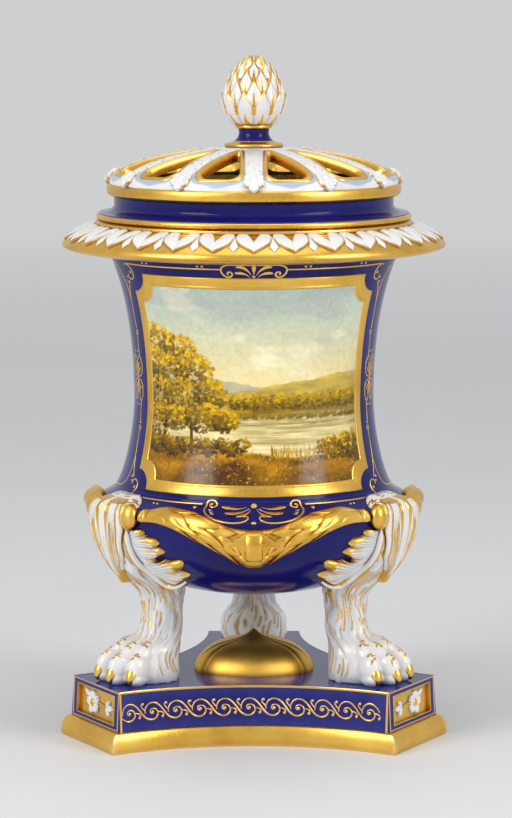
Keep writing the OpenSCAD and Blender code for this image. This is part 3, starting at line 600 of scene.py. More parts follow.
def spiral(cx, cy, r, turns, start, way):
    """Points of a scroll from its middle outwards; it ends at the angle start."""
    inner, t = 0.12, np.linspace(0, 1, int(14 * turns) + 4)
    a = np.radians(start) - way * 2 * np.pi * turns * (1 - t)
    k = r * (inner + (1 - inner) * t)
    return np.column_stack([cx + k * np.cos(a), cy + k * np.sin(a)])


FRAME_X, FRAME_LOW, FRAME_HIGH, FRAME_SCOOP = 59.2, 2.1, 99.6, 8.6


def scoop(inset):
    """Radius of the frame's scooped corners, drawn in by inset."""
    return FRAME_SCOOP - 0.12 * inset


def frame_line(inset):
    """Closed outline of the picture's frame, drawn in by inset: scooped corners, anticlockwise."""
    x, low, high = FRAME_X - inset, FRAME_LOW + inset, FRAME_HIGH - inset
    r = scoop(inset)
    parts = []
    for cx, cy, first in ((x, low, 180), (x, high, 270), (-x, high, 0), (-x, low, 90)):
        a = np.linspace(first, first - 90, 18)
        parts.append(np.column_stack([cx + r * np.cos(np.radians(a)), cy + r * np.sin(np.radians(a))]))
    out = []
    for i, corner in enumerate(parts):
        nxt = parts[(i + 1) % 4]
        t = np.linspace(0, 1, 42)[1:-1, None]
        out += [corner, corner[-1] * (1 - t) + nxt[0] * t]
    return np.vstack(out)


def inside_frame(x, q, inset):
    hx, low, high = FRAME_X - inset, FRAME_LOW + inset, FRAME_HIGH - inset
    far = np.hypot(hx - np.abs(x), np.minimum(q - low, high - q)) > scoop(inset)
    return (np.abs(x) < hx) & (q > low) & (q < high) & far


# Enamel colours for leaves: in shade, between, in light
FAR_WOODS = ((0.13, 0.085, 0.015), (0.38, 0.27, 0.045), (0.76, 0.57, 0.13))
IN_WATER = ((0.22, 0.16, 0.05), (0.32, 0.24, 0.08), (0.46, 0.36, 0.14))
GROVE = ((0.060, 0.040, 0.008), (0.30, 0.205, 0.026), (0.76, 0.55, 0.10))
THICKET = ((0.045, 0.026, 0.006), (0.21, 0.13, 0.018), (0.55, 0.37, 0.06))
BUSHES = ((0.065, 0.038, 0.007), (0.31, 0.20, 0.025), (0.72, 0.50, 0.09))
SUNLIT = (0.84, 0.62, 0.14)


def paint_landscape(x, y):
    """Invented view in enamel colours: hazy hills over a lake, a grove on the left, bushes and a grassy bank.
    x runs from 0 to 1 across the picture, y from 0 to 1 up it; both are even grids [row, column]."""
    rng = np.random.default_rng(41)
    rows, cols = x.shape
    img = np.zeros((rows, cols, 3))

    def lay(share, colour):
        img[:] = img * (1 - share[..., None]) + np.asarray(colour, float) * share[..., None]

    def between(a, b, t):
        return np.asarray(a) * (1 - t[..., None]) + np.asarray(b) * t[..., None]

    def dab(cx, cy, rx, ry, angle, colour, strength, soft):
        reach = max(rx, ry * 0.88) * 1.05
        c0, c1 = int(np.clip((cx - reach) * cols, 0, cols)), int(np.clip((cx + reach) * cols + 1, 0, cols))
        reach = max(ry, rx / 0.88) * 1.05
        r0, r1 = int(np.clip((cy - reach) * rows, 0, rows)), int(np.clip((cy + reach) * rows + 1, 0, rows))
        if c1 <= c0 or r1 <= r0:
            return
        dx, dy = x[r0:r1, c0:c1] - cx, y[r0:r1, c0:c1] - cy
        u = (dx * math.cos(angle) + dy * math.sin(angle)) / rx
        v = (dy * math.cos(angle) - dx * math.sin(angle)) / ry
        share = strength * (1 - smooth(np.hypot(u, v), 1 - soft, 1.0))[..., None]
        img[r0:r1, c0:c1] = img[r0:r1, c0:c1] * (1 - share) + np.asarray(colour) * share

    def foliage(cx, cy, rx, ry, count, leaf, size, gold=None):
        dark, mid, light = leaf
        for _ in range(count):
            a, d = rng.uniform(0, 2 * math.pi), math.sqrt(rng.uniform(0, 1))
            px, py = cx + rx * d * math.cos(a), cy + ry * d * math.sin(a)
            lit = 0.5 + 0.5 * (0.75 * (py - cy) / ry + 0.5 * (px - cx) / rx) + rng.normal(0, 0.16)
            first, later = (dark, mid) if lit < 0.5 else (mid, light)
            t = np.clip(lit * 2 % 1 if 0 < lit < 1 else float(lit >= 1), 0, 1)
            colour = np.asarray(first) * (1 - t) + np.asarray(later) * t
            if gold is not None and rng.uniform() < 0.12 and lit > 0.45:
                colour = np.asarray(gold)
            s = size * rng.uniform(0.55, 1.25)
            dab(px, py, s, s * rng.uniform(0.45, 0.75), rng.uniform(0, math.pi),
                colour * rng.uniform(0.9, 1.1), 0.8, 0.5)

    # sky
    img[:] = between((0.84, 0.74, 0.50), (0.56, 0.63, 0.63), smooth(y, 0.36, 1.0))
    cloud = fractal(x * 3.2 + 0.6 * fractal(x * 4, y * 5, seed=7), y * 5.5, seed=3, octaves=5)
    lay(smooth(cloud, 0.44, 0.64) * smooth(y, 0.42, 0.70) * 0.85, (0.86, 0.84, 0.74))
    lay(smooth(fractal(x * 2.5 + 9, y * 7, seed=11), 0.52, 0.70) * smooth(y, 0.55, 0.85) * 0.40, (0.50, 0.53, 0.55))

    # far hills, three ranges
    for level, size, seed, low, high in ((0.535, 0.110, 21, (0.50, 0.50, 0.46), (0.66, 0.60, 0.44)),
                                         (0.475, 0.080, 23, (0.46, 0.40, 0.19), (0.68, 0.56, 0.25)),
                                         (0.425, 0.050, 29, (0.30, 0.22, 0.05), (0.62, 0.46, 0.11))):
        ridge = (level + size * (fractal(x[0] * 3.4 + seed, 0.0, seed=seed, octaves=5) - 0.4)
                 + 0.05 * np.sin(x[0] * 4.2 + seed))
        under = smooth(ridge[None, :] - y, -0.004, 0.006)
        tone = np.clip(0.5 + 2.0 * (fractal(x * 11, y * 26, seed=seed + 2) - 0.5) + 2.0 * (y - level), 0, 1)
        lay(under, between(low, high, tone))

    # lake with the hills in it
    shore = 0.375 + 0.014 * np.sin(x * 8 + 1) + 0.01 * (fractal(x * 12, seed=31) - 0.5)
    ripple = fractal(x * 6, y * 90, seed=33, octaves=3)
    bright = np.clip(0.62 + 1.7 * (ripple - 0.5) - 3.2 * (y - 0.27), 0, 1)
    water = between((0.40, 0.33, 0.17), (0.80, 0.74, 0.55), bright)
    wet = smooth(shore - y, -0.003, 0.003)
    lay(wet, water)
    lay(wet * smooth(y - shore, -0.06, 0.0) * 0.6, (0.30, 0.21, 0.06))
    for _ in range(60):
        dab(rng.uniform(0.35, 1), rng.uniform(0.24, 0.36), rng.uniform(0.02, 0.07), 0.0022, 0,
            (0.90, 0.84, 0.66), 0.5, 0.6)

    # low woods along the far shore
    for k in range(30):
        cx = 0.42 + 0.60 * k / 29
        size = 0.75 + 0.5 * math.sin(k * 1.9) ** 2
        foliage(cx, 0.400 + 0.022 * size, 0.036 * size, 0.034 * size, 40, FAR_WOODS, 0.011)
        foliage(cx, 0.355, 0.03, 0.012, 8, IN_WATER, 0.012)

    # near bank
    bank = 0.205 + 0.045 * np.sin(x * 4.2 + 1.7) + 0.035 * (fractal(x * 6, seed=43) - 0.5)
    dry = np.clip(0.45 + 2.0 * (fractal(x * 7, y * 18, seed=45) - 0.5) + 2.6 * (y - 0.13), 0, 1)
    soil = between((0.13, 0.055, 0.010), (0.62, 0.38, 0.065), dry)
    lay(smooth(bank - y, -0.006, 0.010), soil)
    for _ in range(1000):
        px = rng.uniform(0, 1)
        py = rng.uniform(0.0, 1.0) ** 1.2 * np.interp(px, x[0], bank[0])
        t = rng.uniform(0, 1) * (0.35 + 0.65 * py / 0.2)
        colour = np.array((0.12, 0.060, 0.010)) * (1 - t) + np.array((0.74, 0.50, 0.10)) * t
        dab(px, py, 0.0028, rng.uniform(0.008, 0.020), rng.normal(0, 0.5), colour, 0.7, 0.6)

    # broad-leaved grove on the left: round crowns down to the ground, from the back to the front
    def trunk(px, py, top, lean, width):
        for t in np.linspace(0, 1, 50):
            cx, cy, half = px + lean * t * t, py + (top - py) * t, width * (1 - 0.5 * t)
            dab(cx, cy, half, 0.012, 0, np.array((0.13, 0.062, 0.018)) * (0.8 + 0.5 * t), 0.9, 0.4)
            dab(cx + width * 0.35, cy, 0.3 * half, 0.010, 0, (0.44, 0.26, 0.09), 0.5, 0.6)

    for cx, cy, rx, ry in ((0.06, 0.70, 0.11, 0.085), (0.17, 0.655, 0.10, 0.085), (0.02, 0.58, 0.11, 0.10),
                           (0.12, 0.54, 0.11, 0.10), (0.25, 0.565, 0.09, 0.085), (0.05, 0.43, 0.12, 0.10),
                           (0.19, 0.44, 0.10, 0.095), (0.32, 0.455, 0.075, 0.075)):
        foliage(cx, cy, rx, ry, 300, GROVE, 0.013, (0.88, 0.66, 0.15))
    trunk(0.105, 0.17, 0.42, 0.015, 0.014)
    trunk(0.245, 0.18, 0.40, -0.02, 0.010)
    for cx, cy, rx, ry in ((0.03, 0.31, 0.10, 0.085), (0.155, 0.335, 0.085, 0.060), (0.29, 0.345, 0.085, 0.075),
                           (0.385, 0.33, 0.055, 0.055)):
        foliage(cx, cy, rx, ry, 240, GROVE, 0.012, SUNLIT)
    for k in range(20):
        foliage(0.01 + 0.44 * k / 19, 0.205 + 0.018 * math.sin(k * 1.7), 0.036, 0.034, 46, THICKET, 0.011)

    # bushes, reeds and flowers on the right bank
    for k in range(9):
        cx = 0.80 + 0.22 * k / 8
        foliage(cx, 0.19 + 0.09 * (cx - 0.8), 0.05, 0.05 + 0.12 * (cx - 0.8), 80, BUSHES, 0.012, SUNLIT)
    for _ in range(130):
        px = rng.uniform(0.56, 0.86)
        base = np.interp(px, x[0], bank[0]) - rng.uniform(0, 0.03)
        tall = rng.uniform(0.03, 0.075)
        colour = np.array((0.20, 0.125, 0.018)) + rng.uniform(0, 1) * np.array((0.48, 0.34, 0.06))
        dab(px, base + tall / 2, 0.0022, tall / 2, rng.normal(0, 0.14), colour, 0.8, 0.5)
    for k in range(90):
        px, py = rng.uniform(0.30, 1.0), rng.uniform(0.02, 0.17)
        colour = ((0.82, 0.74, 0.54), (0.72, 0.36, 0.20), (0.86, 0.64, 0.16))[k % 3]
        dab(px, py, 0.0040, 0.0036, 0, colour, 0.8, 0.5)

    grain = 0.94 + 0.12 * fractal(x * 60, y * 60, seed=51, octaves=2)
    edge = 1 - 0.25 * smooth(np.maximum(np.abs(x - 0.5) * 2, np.abs(y - 0.5) * 2), 0.75, 1.0) * smooth(y, 0.75, 0.4)
    img = np.clip(img * (grain * edge)[..., None], 0, 1)
    img = 1.13 * img * (0.50 + 0.64 * img) * np.array((1.03, 1.02, 0.93))
    grey = img @ np.array((0.3, 0.6, 0.1))
    return np.clip(grey[..., None] + 1.25 * (img - grey[..., None]), 0, 1)


def body_lines(side):
    """Gilt drawing on one half of the wall; x and y are as for on_skin."""
    # line under the rim and its cartouche
    top = 103.6
    side.line([(12.6, top), (30, top), (46, top), (61, top)], 0.7)
    side.line(np.vstack([spiral(9.6, 101.6, 1.7, 1.1, 300, 1),
                         [(11.6, 100.9), (12.6, 102.6), (12.2, 104.7), (9.5, 106.0), (5, 106.7), (0, 106.9)]]), 0.8)
    side.drop([(0.9, 100.9), (2.4, 103.2), (4.6, 104.8), (6.9, 104.9)], 1.5)
    side.drop([(1.5, 99.9), (3.0, 101.3), (5.2, 102.0), (7.4, 101.9)], 1.4)
    for x in (20, 22, 46, 48.5):
        side.dot(x, 104.9, 0.55)

    # corner scrolls in the frame's scoops
    for cy, way in ((FRAME_HIGH - 0.6, 1), (FRAME_LOW + 0.6, -1)):
        for points, cx, width in (
                ([(0.6, 4.4), (-1.6, 3.4), (-3.1, 1.0), (-2.7, -1.6), (-0.4, -2.9), (1.5, -2.2), (1.6, -0.9),
                  (0.8, -0.7)], 60.6, 0.75),
                ([(62.5, -3.6), (64.2, -6.5), (65.6, -9.8), (66.3, -13)], 0, 0.7),
                ([(62.5, -3.6), (63.6, -4.6), (64.6, -4.3), (64.5, -3.3)], 0, 0.6)):
            side.line(np.array(points) * (1, way) + (cx, cy), width)
        for x, dy, r in ((59.4, 0.6, 0.8), (62.6, 4.2, 0.5), (63.6, -2.0, 0.5)):
            side.dot(x, cy + dy * way, r)

    # side lines with knots and a double anthemion
    edge = 66.4
    for low, high in ((15.5, 27), (31, 40.5), (60.5, 70), (74, 86)):
        side.line([(edge, low), (edge + 0.5, (low + high) / 2), (edge, high)], 0.65)
    for y in (29, 72):
        side.line([(edge, y - 2), (edge - 1.1, y - 0.6), (edge, y + 0.4), (edge + 1.1, y - 0.6), (edge, y - 2)], 0.6)
        side.dot(edge, y + 1.6, 0.5)
    cx, cy = 70.2, 50.5
    for way in (1, -1):
        for dx, dy in ((0, 8.4), (2.3, 7.4), (-2.3, 7.4), (4.0, 5.0), (-4.0, 5.0)):
            side.drop([(cx + dx * 0.08, cy + 1.1 * way), (cx + dx * 0.45, cy + dy * 0.55 * way),
                       (cx + dx, cy + dy * way)], 1.15)
        for s in (1, -1):
            side.line(np.array([(0.5, 0.6), (4.4, 1.4), (6.0, 5.2), (4.6, 9.2), (2.4, 9.9), (1.7, 8.7), (2.7, 8.2)])
                      * (s, way) + (cx, cy), 0.65)
        for x in (68.6, 72.0):
            side.dot(x, cy + 12.0 * way, 0.55)
    side.dot(cx, cy, 0.9)

    # line over the garland and its cartouche
    side.line([(20.5, -1.4), (30, -1.5), (40, -1.6), (58, -1.8)], 0.75)
    side.line(np.vstack([spiral(16.3, -1.6, 2.4, 1.25, 30, -1),
                         [(18.8, -2.6), (18.9, -5.0), (17.0, -8.4), (13.4, -11.2), (8.6, -12.7), (4.4, -12.4),
                          (2.3, -10.6), (2.2, -8.9), (3.3, -8.4), (3.9, -9.2)]]), 0.85)
    side.drop([(2.8, -2.6), (6.0, -3.5), (9.0, -3.2), (12.4, -2.5)], 1.9)
    side.drop([(1.9, -3.4), (4.4, -5.6), (7.4, -6.6), (10.8, -6.5)], 2.0)
    side.drop([(1.0, -3.8), (2.4, -6.4), (4.2, -8.0), (6.4, -8.8)], 1.7)
    for k, y in enumerate((-4.6, -6.0, -7.2)):
        side.line([(17.3 - 0.7 * k, y), (16.6 - 0.7 * k, y - 0.35), (15.9 - 0.65 * k, y - 0.1)], 0.45)
    for x, y, r in ((23.2, -3.4, 0.8), (15.4, -12.2, 0.7), (13.2, -13.4, 0.6), (40.5, -3.6, 0.55), (42.3, -3.6, 0.55)):
        side.dot(x, y, r)

    # plain lines that carry the border round the back
    side.line([(edge, 86), (67.6, 94), (72, 100.6), (82, 103.4), (100, top), (130, top), (176, top)], 0.7)
    side.line([(edge, 15.5), (67.6, 8), (71, 2.2), (80, 0.2), (100, -0.2), (130, -0.2), (176, -0.2)], 0.7)


def make_body_decoration():
    # picture
    inset = 2.6
    xs = np.linspace(-(FRAME_X - inset), FRAME_X - inset, 430)
    qs = np.linspace(FRAME_LOW + inset, FRAME_HIGH - inset, 400)
    gx, gq = np.meshgrid(xs, qs)
    colour = paint_landscape((gx - xs[0]) / (xs[-1] - xs[0]), (gq - qs[0]) / (qs[-1] - qs[0]))
    picture = Shape().patch(on_skin(gx, gq, 0.10), paint=colour)
    mid_x, mid_q = (0.25 * (g[:-1, :-1] + g[1:, 1:] + g[:-1, 1:] + g[1:, :-1]) for g in (gx, gq))
    within = inside_frame(mid_x, mid_q, inset).ravel()
    picture.quads = [picture.quads[0][within]]
    picture.build("painted_panel", PAINT)

    # frame: a flat gilt bar with soft edges and a fine bead along its inner edge
    section = [(0.0, -0.05), (0.12, 0.2), (0.45, 0.34), (1.2, 0.36), (3.4, 0.36), (3.75, 0.24), (4.05, 0.24),
               (4.3, 0.46), (4.75, 0.5), (5.2, 0.36), (5.4, 0.02)]
    bar = np.array([on_skin(*frame_line(w).T, h) for w, h in section])
    Shape().patch(bar, close_cols=True, flip=True).build("picture_frame", GOLD, sharp=60)

    g = Gilt(on_skin)
    for side in (g, g.mirror()):
        body_lines(side)
    g.drop([(0, 101.2), (0, 103.4), (0, 105.7)], 1.9)
    g.dot(0, 100.3, 0.6)
    g.dot(0, -1.8, 1.25)
    g.dot(0, -12.6, 0.8)
    g.shape.build("body_gilt_lines", GOLD)


make_body_decoration()


# Plinth

def triform(reach, hollow, z):
    """Ring round the plinth, anticlockwise: three corner faces and three hollow sides."""
    half = HOLLOW_DIST * math.sin(math.radians(60)) - math.sqrt(hollow ** 2 - (reach - HOLLOW_DIST / 2) ** 2)
    points = []
    for corner in (210, 330, 90):
        t = np.linspace(-half, half, 25)
        points.append(turn(np.column_stack([np.full_like(t, reach), t]), corner))
        side = math.radians(corner + 60)
        centre = HOLLOW_DIST * np.array([math.cos(side), math.sin(side)])
        first = points[-1][-1] - centre
        start = math.degrees(math.atan2(first[1], first[0])) - (corner + 60)
        start = (start + 360) % 360 - 180
        a = corner + 240 + np.linspace(start, -start, 97)
        points.append(centre + polar(hollow, a)[1:-1])
    flat = np.vstack(points)
    return np.column_stack([flat, np.full(len(flat), z)])


def batter(y):
    """How far the plinth's wall stands out at a height, from its top edge."""
    return BATTER_OUT * (PLINTH_H - y) / (PLINTH_H - MOULDING_H)


def on_side(side):
    """Points of a hollow side of the plinth: x runs to the right from its middle, y is the height."""
    centre = np.append(polar(HOLLOW_DIST, side), 0.0)

    def where(x, y, out=0.0):
        x, y, out = spread(x, y, out)
        return raised(polar(HOLLOW_R - batter(y) - out, side + 180 - np.degrees(x / HOLLOW_R)), y) + centre
    return where


def on_corner(az):
    """Points of a corner face: x runs to the right from its middle, y is the height."""
    def where(x, y, out=0.0):
        x, y, out = spread(x, y, out)
        return turn(np.stack([CORNER_DIST + batter(y) + out, x, y], -1), az)
    return where


def side_scrolls(g):
    """Running scroll with curled hooks, and the gilt edges of a hollow side."""
    pitch, y, first, last = 11.0, 17.5, -6, 5
    half = math.asin(HOLLOW_HALF / HOLLOW_R) * HOLLOW_R

    def swell(t):
        return 0.78 + 0.42 * np.sin(np.pi * t) ** 2

    for k in range(first, last + 1):
        x, n = -2.2 + pitch * k, -2.2 + pitch * (k + 1)
        wave = [(x - 3.4, y - 0.9), (x - 3.35, y + 0.7), (x - 2.4, y + 2.6), (x - 0.5, y + 3.7), (x + 1.7, y + 3.5),
                (x + 3.6, y + 2.2), (x + 5.2, y + 0.3), (x + 6.7, y - 1.7), (x + 8.3, y - 3.1)]
        coil = [(n - 0.6, y - 3.8), (n + 1.5, y - 3.3), (n + 2.7, y - 1.7), (n + 2.3, y + 0.2), (n + 0.8, y + 1.1),
                (n - 0.7, y + 0.6), (n - 0.9, y - 0.7), (n + 0.1, y - 1.2)]
        if k == first:
            points = [(n - 4.2, y - 1.6), (n - 3.0, y - 2.7)] + coil
        else:
            points = wave[:-2] if k == last else wave + coil
        g.line(points, 0.72, 0.2, swell)
        if k > first:
            g.dot(x + 0.15, y - 0.5, 0.75, 0.26)
            g.line([(x + 2.5, y - 0.5), (x + 4.0, y - 0.6), (x + 5.2, y - 1.3), (x + 5.3, y - 2.3)], 0.62, 0.18)
            g.dot(x + 4.9, y - 2.6, 0.66, 0.26)
        if k > first + 1:
            g.line([(x - 3.4, y + 0.1), (x - 4.7, y + 1.5), (x - 5.3, y + 2.6), (x - 4.9, y + 3.5)], 0.62, 0.18)
            g.dot(x - 4.5, y + 3.3, 0.62, 0.26)
    edge = np.linspace(-half, half, 140)
    g.line(np.column_stack([edge, np.full_like(edge, PLINTH_H - 0.45)]), 1.1, 0.16, smooth_line=False)
    for s in (-1, 1):
        up = np.linspace(MOULDING_H, PLINTH_H - 0.1, 30)
        g.line(np.column_stack([np.full_like(up, s * (half - 0.55)), up]), 1.2, 0.16, smooth_line=False)


def corner_panel(az, way):
    """Gilding of a corner face with its sunk panel, and the flower spray applied in it."""
    where = on_corner(az)
    mid = MOULDING_H + (PLINTH_H - MOULDING_H) / 2
    w, h, d = PANEL_W / 2, PANEL_H / 2, PANEL_DEPTH
    gold, spray, floor = Shape(), Shape(), -d + 0.12

    def band(half_w, half_h, section):
        """Gilt frame; section lists the steps out from its line, and how far each stands off."""
        rings = []
        for k, out in section:
            x, y = half_w + k, half_h + k
            line = resample([(-x, -y), (x, -y), (x, y), (-x, y)], 240, True)
            rings.append(where(line[:, 0], mid + line[:, 1], out))
        gold.patch(np.array(rings), close_cols=True, flip=True)

    def petal(cx, cy, angle, length, width, base, rise, notch=0.0, vein=0.2):
        t, s = grid(26, 19)
        half = width / 2 * np.sin(np.pi * np.clip(0.10 + 0.89 * t ** 1.1, 0, 1)) ** 0.62
        u, v = length * t * (1 - notch * (1 - np.abs(s)) ** 2 * t), half * s
        edge = arch(np.abs(s) ** 3.4) * arch(past(t, 0.8, 0.2) ** 3)
        out = base + edge * (rise * (0.45 + 0.55 * smooth(t, 0, 0.7)) - vein * bell(s, 0.13))
        c, n = math.cos(math.radians(angle)), math.sin(math.radians(angle))
        # painted shade: pale blue where the petal's edge falls to the panel
        spray.patch(where(cx + u * c - v * n, mid + cy + u * n + v * c, out),
                    gilt=smooth(t, 0.2, 0.06), tint=0.30 * (1 - edge))

    def bead(cx, cy, r, base, height):
        a, k = np.linspace(0, 2 * np.pi, 25)[:-1], np.sin(np.linspace(np.pi / 2, 0.02, 9))[:, None]
        spray.patch(where(cx + r * k * np.cos(a), mid + cy + r * k * np.sin(a), base + height * arch(k ** 2)),
                    close_cols=True, gilt=1.0)

    x, y = np.meshgrid(np.linspace(-w, w, 90), np.linspace(-h, h, 34))
    worn = 0.10 * (fractal(x / 3, y / 3, seed=91 + az) - 0.5)
    gold.patch(where(x, mid + y, -d + 0.07 + worn))
    band(w, h, [(-0.04, -d), (-0.03, -0.2), (0.0, 0.10), (0.12, 0.16), (0.3, 0.16), (0.42, 0.0)])
    band(CORNER_W / 2, (PLINTH_H - MOULDING_H) / 2,
         [(-0.80, -0.03), (-0.72, 0.1), (-0.45, 0.14), (-0.2, 0.1), (-0.1, -0.02)])

    # flower, three leaves at the stem's other end, one leaf behind the flower, and the stem
    cx, cy, lx = 4.2 * way, -0.2, -7.2 * way
    for k in range(5):
        petal(cx, cy, 90 + 72 * k - 12 * way, 5.6, 4.9, floor + 0.12 * (k % 2), 1.25, 0.16)
    bead(cx, cy, 1.75, floor + 0.5, 1.05)
    for k in range(7):
        a = 2 * math.pi * k / 7
        bead(cx + 1.5 * math.cos(a), cy + 1.5 * math.sin(a), 0.42, floor + 0.8, 0.5)
    back = 180 if way > 0 else 0
    for angle, reach, wide in ((38, 5.4, 2.3), (-38, 5.4, 2.3), (0, 7.4, 2.9)):
        petal(lx, -0.3, back + angle, reach, wide, floor, 1.15, vein=0.3)
    petal(cx + 3.2 * way, 1.6, 35 if way > 0 else 145, 5.6, 2.4, floor - 0.1, 1.0, vein=0.3)
    t = np.linspace(0, 1, 24)
    x, y = lx + (cx - lx) * t, mid - 0.3 + 0.7 * np.sin(np.pi * t)
    spray.patch(ribbon(where(x, y, floor), Gilt(where).normal(x, y), 1.0, 0.7), gilt=1.0)
    return gold, spray


BOSS_R, BOSS_RIDGE, BOSS_H = 25.4, 3.6, 17.5


def make_plinth():
    cad = nodes["plinth"]
    cad.data.materials.clear()
    cad.data.materials.append(COBALT)
    bevel = cad.modifiers.new("soft_edges", "BEVEL")
    bevel.width, bevel.segments, bevel.limit_method, bevel.angle_limit = 0.0004, 2, "ANGLE", math.radians(35)

    rows = [(0.14, 0.0), (0.02, 1.2)] + [(0.94 * (1 - math.cos(a)), MOULDING_H * (0.24 + 0.76 * math.sin(a)))
                                         for a in np.radians(np.linspace(0, 90, 22))]
    reach, hollow = CORNER_DIST + BATTER_OUT + MOULDING_OUT, HOLLOW_R - BATTER_OUT - MOULDING_SIDE_OUT
    rings = [triform(reach - MOULDING_OUT * f, hollow + MOULDING_SIDE_OUT * f, z) for f, z in rows]
    inner = [triform(CORNER_DIST - 5, HOLLOW_R + 5, z) for z in (MOULDING_H, 0.0)]
    Shape().patch(np.array(rings + inner + rings[:1]), close_cols=True).build(
        "foot_moulding_gilt", GOLD, "vase", "foot_moulding", "gilding", 30)

    for name, az in SIDE_AZ.items():
        g = Gilt(on_side(az))
        side_scrolls(g)
        g.shape.build(f"plinth_scrolls_{name}", GOLD)
    for name, az in LEG_AZ.items():
        gold, spray = corner_panel(az, -1 if name == "left" else 1)
        gold.build(f"corner_panel_{name}", GOLD, sharp=50)
        spray.build(f"flower_{name}_porcelain", WHITE, "vase", f"flower_{name}", "white_porcelain")

    # boss: three swelling panels between ridges, rising to a point
    share = np.concatenate([1 - np.linspace(0, 1, 30)[:-1] ** 2 * 0.12, np.linspace(0.88, 0.001, 80)])[:, None]
    a = np.arange(0, 360, 1.0)[None, :]
    ridge = ((1 + np.cos(np.radians(3 * (a - 90)))) / 2) ** 2
    from_ridge = np.abs((a - 90 + 60) % 120 - 60)
    crease = bell(from_ridge - 7.5, 2.0) * smooth(share, 0.10, 0.35)
    r = (BOSS_R + BOSS_RIDGE * ridge) * share - 0.45 * crease
    rise = 0.74 * np.maximum(0, 1 - share ** 3) ** 0.55 + 0.26 * np.maximum(0, 1 - share / 0.5) ** 2.5
    z = PLINTH_H + BOSS_H * rise - 0.40 * crease * (1 - share ** 8)
    Shape().patch(raised(polar(np.maximum(r, 0.02), a), z), close_cols=True).build(
        "plinth_boss_gilt", make_gold("satin_gold", satin=0.26, wear=0.3), "vase", "plinth_boss", "gilding")


make_plinth()


# Legs

# height, front, back, half width, squareness of a leg's section; the leg stands along +x
STATIONS = np.array([
    (27, 76, 41.7, 15.3, 2.3), (30.6, 78, 41.3, 16.3, 2.3), (36, 77.4, 41.1, 16.0, 2.2), (41, 74, 40.7, 14.3, 2.1),
    (44.6, 66.5, 39.9, 12.1, 2), (46.8, 60.1, 39.1, 10.6, 2), (50.4, 57.7, 38.5, 9.7, 2), (58.7, 56.7, 38.3, 9.3, 2),
    (65.8, 58.3, 37.5, 10.9, 2.1), (71.6, 63.1, 38.3, 12.9, 2.4), (78.7, 70.4, 46.3, 14.6, 3),
    (90.8, 75.1, 56.3, 15.2, 4), (104, 76, 60.3, 15.2, 4.2), (108.6, 73.6, 60.3, 13.4, 2.8),
    (111.6, 66.8, 60.3, 8.6, 2.2)], float)
LEG_LOW, LEG_TOP, ANKLE_Z = STATIONS[0, 0], STATIONS[-1, 0], 48.0


def station(z, column):
    """Smooth value of a column of the stations at a height."""
    z, table = np.asarray(z, float), STATIONS
    i = np.clip(np.searchsorted(table[:, 0], z, side="right") - 1, 0, len(table) - 2)
    a, b, c, d = table[np.maximum(i - 1, 0)], table[i], table[i + 1], table[np.minimum(i + 2, len(table) - 1)]
    span = c[..., 0] - b[..., 0]
    t = (z - b[..., 0]) / span
    rise_b = (c[..., column] - a[..., column]) / (c[..., 0] - a[..., 0]) * span
    rise_c = (d[..., column] - b[..., column]) / (d[..., 0] - b[..., 0]) * span
    return ((2 * t ** 3 - 3 * t * t + 1) * b[..., column] + (t ** 3 - 2 * t * t + t) * rise_b
            + (3 * t * t - 2 * t ** 3) * c[..., column] + (t ** 3 - t * t) * rise_c)


def off_bowl(p, room):
    """Points that would lie inside the bowl, moved out to its face."""
    p = p.copy()
    r = np.hypot(p[..., 0], p[..., 1])
    least = np.where(p[..., 2] > BOWL_Z - 0.2, bowl_radius(p[..., 2]) + room, 0)
    p[..., :2] *= np.where(r < least, least / np.maximum(r, 1e-6), 1)[..., None]
    return p


def leg_skin(z, phi, out=0.0, front_less=0.0):
    """Point of a leg's skin at a height and an angle round the leg (0 at its front), stood off by out."""
    z, phi, out, front_less = spread(z, phi, out, front_less)
    front, back = station(z, 1) + out - front_less, station(z, 2)
    half, square = station(z, 3) + out, station(z, 4)
    c, s = np.cos(np.radians(phi)), np.sin(np.radians(phi))
    x = (front + back) / 2 + (front - back) / 2 * np.sign(c) * np.abs(c) ** (2 / square)
    y = half * np.sign(s) * np.abs(s) ** (2 / square)
    return np.stack([x, y, z], -1)


def ball(centre, radii, tilt, turn_by, rows=20, cols=28):
    """Closed patch of an egg; tilted in the leg's upright plane, then turned about its own upright."""
    a, b = np.linspace(-np.pi / 2, np.pi / 2, rows), np.linspace(0, 2 * np.pi, cols + 1)[:-1]
    p = np.stack([radii[0] * np.cos(a)[:, None] * np.cos(b), radii[1] * np.cos(a)[:, None] * np.sin(b),
                  np.broadcast_to(radii[2] * np.sin(a)[:, None], (rows, cols))], -1)
    p[0, :, :2] += 1e-4 * np.stack([np.cos(b), np.sin(b)], -1)
    p[-1, :, :2] += 1e-4 * np.stack([np.cos(b), np.sin(b)], -1)
    t = math.radians(tilt)
    x, z = p[..., 0] * math.cos(t) + p[..., 2] * math.sin(t), -p[..., 0] * math.sin(t) + p[..., 2] * math.cos(t)
    p = np.stack([x, p[..., 1], z], -1)
    return turn(p, turn_by) + np.asarray(centre, float)


# angle of each toe round the leg, and its size
TOES = [(-54, 0.93), (-18, 1.02), (18, 1.02), (54, 0.93)]
TOE_Z, TOE_ROOT = 33.0, 57.5


def toe_frame(phi):
    """Tip of a toe, the way that it points, and the same as an angle."""
    tip = leg_skin(TOE_Z, phi)
    way = tip - np.array([TOE_ROOT, tip[1] * 0.55, TOE_Z])
    way[2] = 0
    way = way / np.linalg.norm(way)
    return tip, way, math.degrees(math.atan2(way[1], way[0]))


